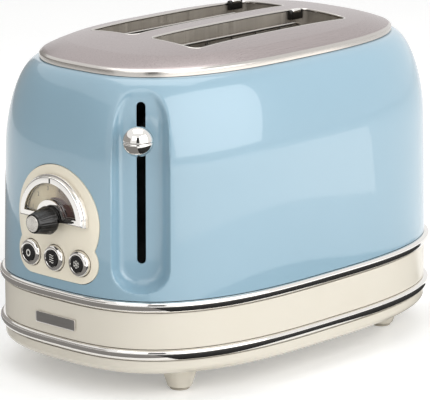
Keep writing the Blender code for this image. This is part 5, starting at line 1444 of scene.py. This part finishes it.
def mica_board():
    """Mica board: pale silvery brown flakes, wound with flat heating ribbon every few millimetres."""
    finish, tree, shader = start_finish("mica_board", "#A08C66", 0.5)
    place = add_node(tree, "TexCoord").outputs["Object"]
    axes = add_node(tree, "SeparateXYZ", Vector=place).outputs
    wound = add_node(tree, "Math", {"operation": "MULTIPLY", 1: 2 * math.pi * 1000 / 9}, i0=axes["Z"])
    wave = add_node(tree, "Math", {"operation": "SINE"}, i0=wound.outputs[0])
    ribbon = add_node(tree, "Math", {"operation": "GREATER_THAN", 1: 0.8}, i0=wave.outputs[0])
    flakes = add_node(tree, "TexVoronoi", {"Scale": 1000 / 3}, Vector=place)
    leaf = add_node(
        tree,
        "Mix",
        {"data_type": "RGBA", 6: linear("#94805A"), 7: linear("#BCA980")},
        i0=flakes.outputs["Distance"],
    )
    tint = add_node(
        tree,
        "Mix",
        {"data_type": "RGBA", 7: linear("#4B4744")},
        i0=ribbon.outputs[0],
        i6=leaf.outputs[2],
    )
    tree.links.new(tint.outputs[2], shader.inputs["Base Color"])
    tree.links.new(ribbon.outputs[0], shader.inputs["Metallic"])
    return finish


def board_laminate():
    """Glass and epoxy board: green solder mask with the copper tracks showing through as lighter lines."""
    finish, tree, shader = start_finish("board_laminate", "#1E4D33", 0.35, IOR=1.55)
    place = add_node(tree, "TexCoord").outputs["Object"]
    tracks = add_node(
        tree,
        "TexVoronoi",
        {"feature": "DISTANCE_TO_EDGE", "Scale": 1000 / 5, "Randomness": 0.6},
        Vector=place,
    )
    line = add_node(tree, "Math", {"operation": "LESS_THAN", 1: 0.08}, i0=tracks.outputs["Distance"])
    vary_surface(tree, shader, line.outputs[0], ("#1B4A30", "#3F7A4F"))
    return finish


NODE_MERGE = 0.00001
NODE_CREASE = math.radians(35)
THIN_EDGE = 0.0002
CASE_EDGE = 0.0003
HANDLE_EDGE = 0.0004


def dress_node(name, finish, edge=0.0):
    """Gives a CAD node its finish, joins its loose triangles and rounds its edges a little."""
    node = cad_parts[name]
    node.data.materials.clear()
    node.data.materials.append(finish)
    node.data.shade_smooth()
    weld = node.modifiers.new("join", "WELD")
    weld.merge_threshold = NODE_MERGE
    if edge:
        rounding = node.modifiers.new("edge", "BEVEL")
        rounding.width = edge
        rounding.segments = 2
        rounding.limit_method = "ANGLE"
        rounding.harden_normals = True
    split = node.modifiers.new("crease", "EDGE_SPLIT")
    split.split_angle = NODE_CREASE


zinc = zinc_sheet()
magnet_iron = brushed_metal("magnet_iron", "#6E6A66", "#5A5652", 0.45, 0.4, 2)
clear_acrylic, tree, lens_shader = start_finish(
    "clear_acrylic", "#FFFFFF", 0.03, IOR=1.49, Transmission_Weight=1.0
)
# Light reaches the card through the clear window, so the window casts no shadow of its own
rays = add_node(tree, "LightPath").outputs
through = add_node(tree, "BsdfTransparent")
lens_mix = add_node(
    tree,
    "MixShader",
    i0=rays["Is Shadow Ray"],
    i1=lens_shader.outputs[0],
    i2=through.outputs[0],
)
tree.links.new(lens_mix.outputs[0], tree.nodes["Material Output"].inputs["Surface"])
for name in ("chassis_floor", "front_frame", "reflector_wrap", "carriage", "latch_plate", "lever_arm"):
    dress_node(name, zinc, THIN_EDGE)
for name in ("bread_rest_left", "bread_rest_right", "crumb_tray"):
    dress_node(name, zinc, THIN_EDGE)
for name in ("potentiometer_shaft", "guide_rod", "lift_spring"):
    dress_node(name, bright_steel)
for corner_name in ("front_left", "front_right", "rear_left", "rear_right"):
    dress_node(f"base_screw_{corner_name}", bright_steel)
for place_name in ("left", "centre", "right"):
    dress_node(f"heater_{place_name}", mica_board())
for use in ("cancel", "reheat", "defrost"):
    dress_node(f"push_switch_{use}", black_abs, THIN_EDGE)
dress_node("timer_potentiometer", black_abs, CASE_EDGE)
dress_node("circuit_board", board_laminate())
dress_node("holding_magnet", magnet_iron, CASE_EDGE)
dress_node("tray_handle", cream_abs, HANDLE_EDGE)
dress_node("cord_gland", black_abs)
dress_node("dial_window", clear_acrylic)


# Studio: a plain white floor, a large soft box to the right of the camera, another overhead, and
# an even pale surround. The camera stands where the photograph was taken from.

CAMERA_AIM = Vector((-0.02011, -0.01497, 0.09585))
CAMERA_SIDE = Vector((-0.7119, -0.6608, 0.2377))
CAMERA_DISTANCE = 1.86782
LENS_MM = 253.23
FLOOR_RADIUS = 7
FLOOR_LIFT = 0.25
SKY_LIGHT = 0.5
SKY_SEEN = 1.0


def seen_rays(tree):
    """One where the camera, a mirror or glass looks straight at something, and nought elsewhere."""
    rays = add_node(tree, "LightPath").outputs
    seen = rays["Is Camera Ray"]
    for kind in ("Is Glossy Ray", "Is Transmission Ray"):
        seen = add_node(tree, "Math", {"operation": "MAXIMUM"}, i0=seen, i1=rays[kind]).outputs[0]
    return seen


ground = bmesh.new()
bmesh.ops.create_circle(ground, cap_ends=True, segments=96, radius=FLOOR_RADIUS)
ground_mesh = bpy.data.meshes.new("studio_floor")
ground.to_mesh(ground_mesh)
ground.free()
floor_paint, tree, shader = start_finish("white_floor_paint", "#F4F3F1", 0.6)
place = add_node(tree, "TexCoord").outputs["Object"]
mottle = add_node(tree, "TexNoise", {"Scale": 1000 / 300, "Detail": 2}, Vector=place)
vary_surface(tree, shader, mottle.outputs["Fac"], ("#F5F5F4", "#F2F2F1"))
lift = add_node(tree, "Math", {"operation": "MULTIPLY", 1: FLOOR_LIFT}, i0=seen_rays(tree))
shader.inputs["Emission Color"].default_value = (1, 1, 1, 1)
tree.links.new(lift.outputs[0], shader.inputs["Emission Strength"])
ground_mesh.materials.append(floor_paint)
ground_piece = bpy.data.objects.new("studio_floor", ground_mesh)
bpy.context.collection.objects.link(ground_piece)


def hang_card(name, sizes, first, last, level):
    """A card that only mirrors show, a painted reflection: rings of radius and height, between two bearings
    in degrees.
    """
    shape = bmesh.new()
    line = [shape.verts.new((radius, 0, height)) for radius, height in sizes]
    edges = [shape.edges.new(pair) for pair in zip(line, line[1:])]
    bmesh.ops.spin(shape, geom=line + edges, axis=(0, 0, 1), angle=math.radians(last - first), steps=48)
    bmesh.ops.rotate(shape, matrix=Matrix.Rotation(math.radians(first), 3, "Z"), verts=shape.verts)
    bmesh.ops.transform(shape, matrix=MIDDLE, verts=shape.verts)
    mesh = bpy.data.meshes.new(name)
    shape.to_mesh(mesh)
    shape.free()
    # The card's near-black colour and its glow are a painted reflection, seen only in mirrors
    reflection_paint, _, reflection_paint_shader = start_finish(name, "#050505", 0.9)
    reflection_paint_shader.inputs["Emission Color"].default_value = (1, 0.96, 0.92, 1)
    reflection_paint_shader.inputs["Emission Strength"].default_value = level
    mesh.materials.append(reflection_paint)
    card_piece = bpy.data.objects.new(name, mesh)
    for rays_kind in ("camera", "diffuse", "shadow", "transmission"):
        setattr(card_piece, f"visible_{rays_kind}", False)
    bpy.context.collection.objects.link(card_piece)


# Painted reflections: a black sheet on the floor and two grey sheets darken what the chrome mirrors, a
# glowing sheet paints a broad highlight into the enamel, and a dark upright paints the camera's shape into
# the ball
hang_card("painted_reflection_black", ((0.11, 0.001), (0.36, 0.001)), 214, 345, 0.0)
hang_card("painted_reflection_glow", ((0.56, 0.002), (1.6, 0.002)), 238, 322, 2.1)
hang_card("painted_reflection_grey_floor", ((0.16, 0.001), (0.50, 0.001)), 60, 214, 0.22)
hang_card("painted_reflection_grey_wall", ((1.6, 0.0), (1.6, 0.9)), 60, 170, 0.35)
hang_card("painted_reflection_camera", ((1.1, 0.1), (1.1, 1.0)), 213, 231, 0.02)

surround = bpy.data.worlds.new("pale_surround")
surround.use_nodes = True
bpy.context.scene.world = surround
tree = surround.node_tree
level = add_node(tree, "MapRange", {"To Min": SKY_LIGHT, "To Max": SKY_SEEN}, Value=seen_rays(tree))
sky = tree.nodes["Background"]
sky.inputs["Color"].default_value = (1, 1, 1, 1)
tree.links.new(level.outputs["Result"], sky.inputs["Strength"])


def hang_lamp(name, place, aim, width, height, watts):
    """A rectangular soft box that faces a point."""
    lamp = bpy.data.lights.new(name, "AREA")
    lamp.shape = "RECTANGLE"
    lamp.size, lamp.size_y, lamp.energy = width, height, watts
    holder = bpy.data.objects.new(name, lamp)
    holder.location = place
    holder.rotation_euler = (Vector(place) - Vector(aim)).to_track_quat("Z", "Y").to_euler()
    bpy.context.collection.objects.link(holder)


hang_lamp("side_soft_box", (0.05, -1.75, 0.95), (0, 0, 0.2), 2.2, 1.75, 26)
hang_lamp("end_soft_box", (-1.55, -0.45, 1.15), (0, 0, 0.1), 1.1, 0.9, 3.5)
hang_lamp("top_soft_box", (0.1, 0.1, 1.9), (0, 0, 0.1), 1.7, 1.3, 11)

lens = bpy.data.cameras.new("photo_camera")
lens.sensor_width = 36
lens.lens = LENS_MM
camera = bpy.data.objects.new("photo_camera", lens)
aim = MIDDLE @ CAMERA_AIM
camera.location = aim + CAMERA_SIDE.normalized() * CAMERA_DISTANCE
camera.rotation_euler = CAMERA_SIDE.to_track_quat("Z", "Y").to_euler()
bpy.context.collection.objects.link(camera)
bpy.context.scene.camera = camera
bpy.context.scene.view_settings.view_transform = "Standard"
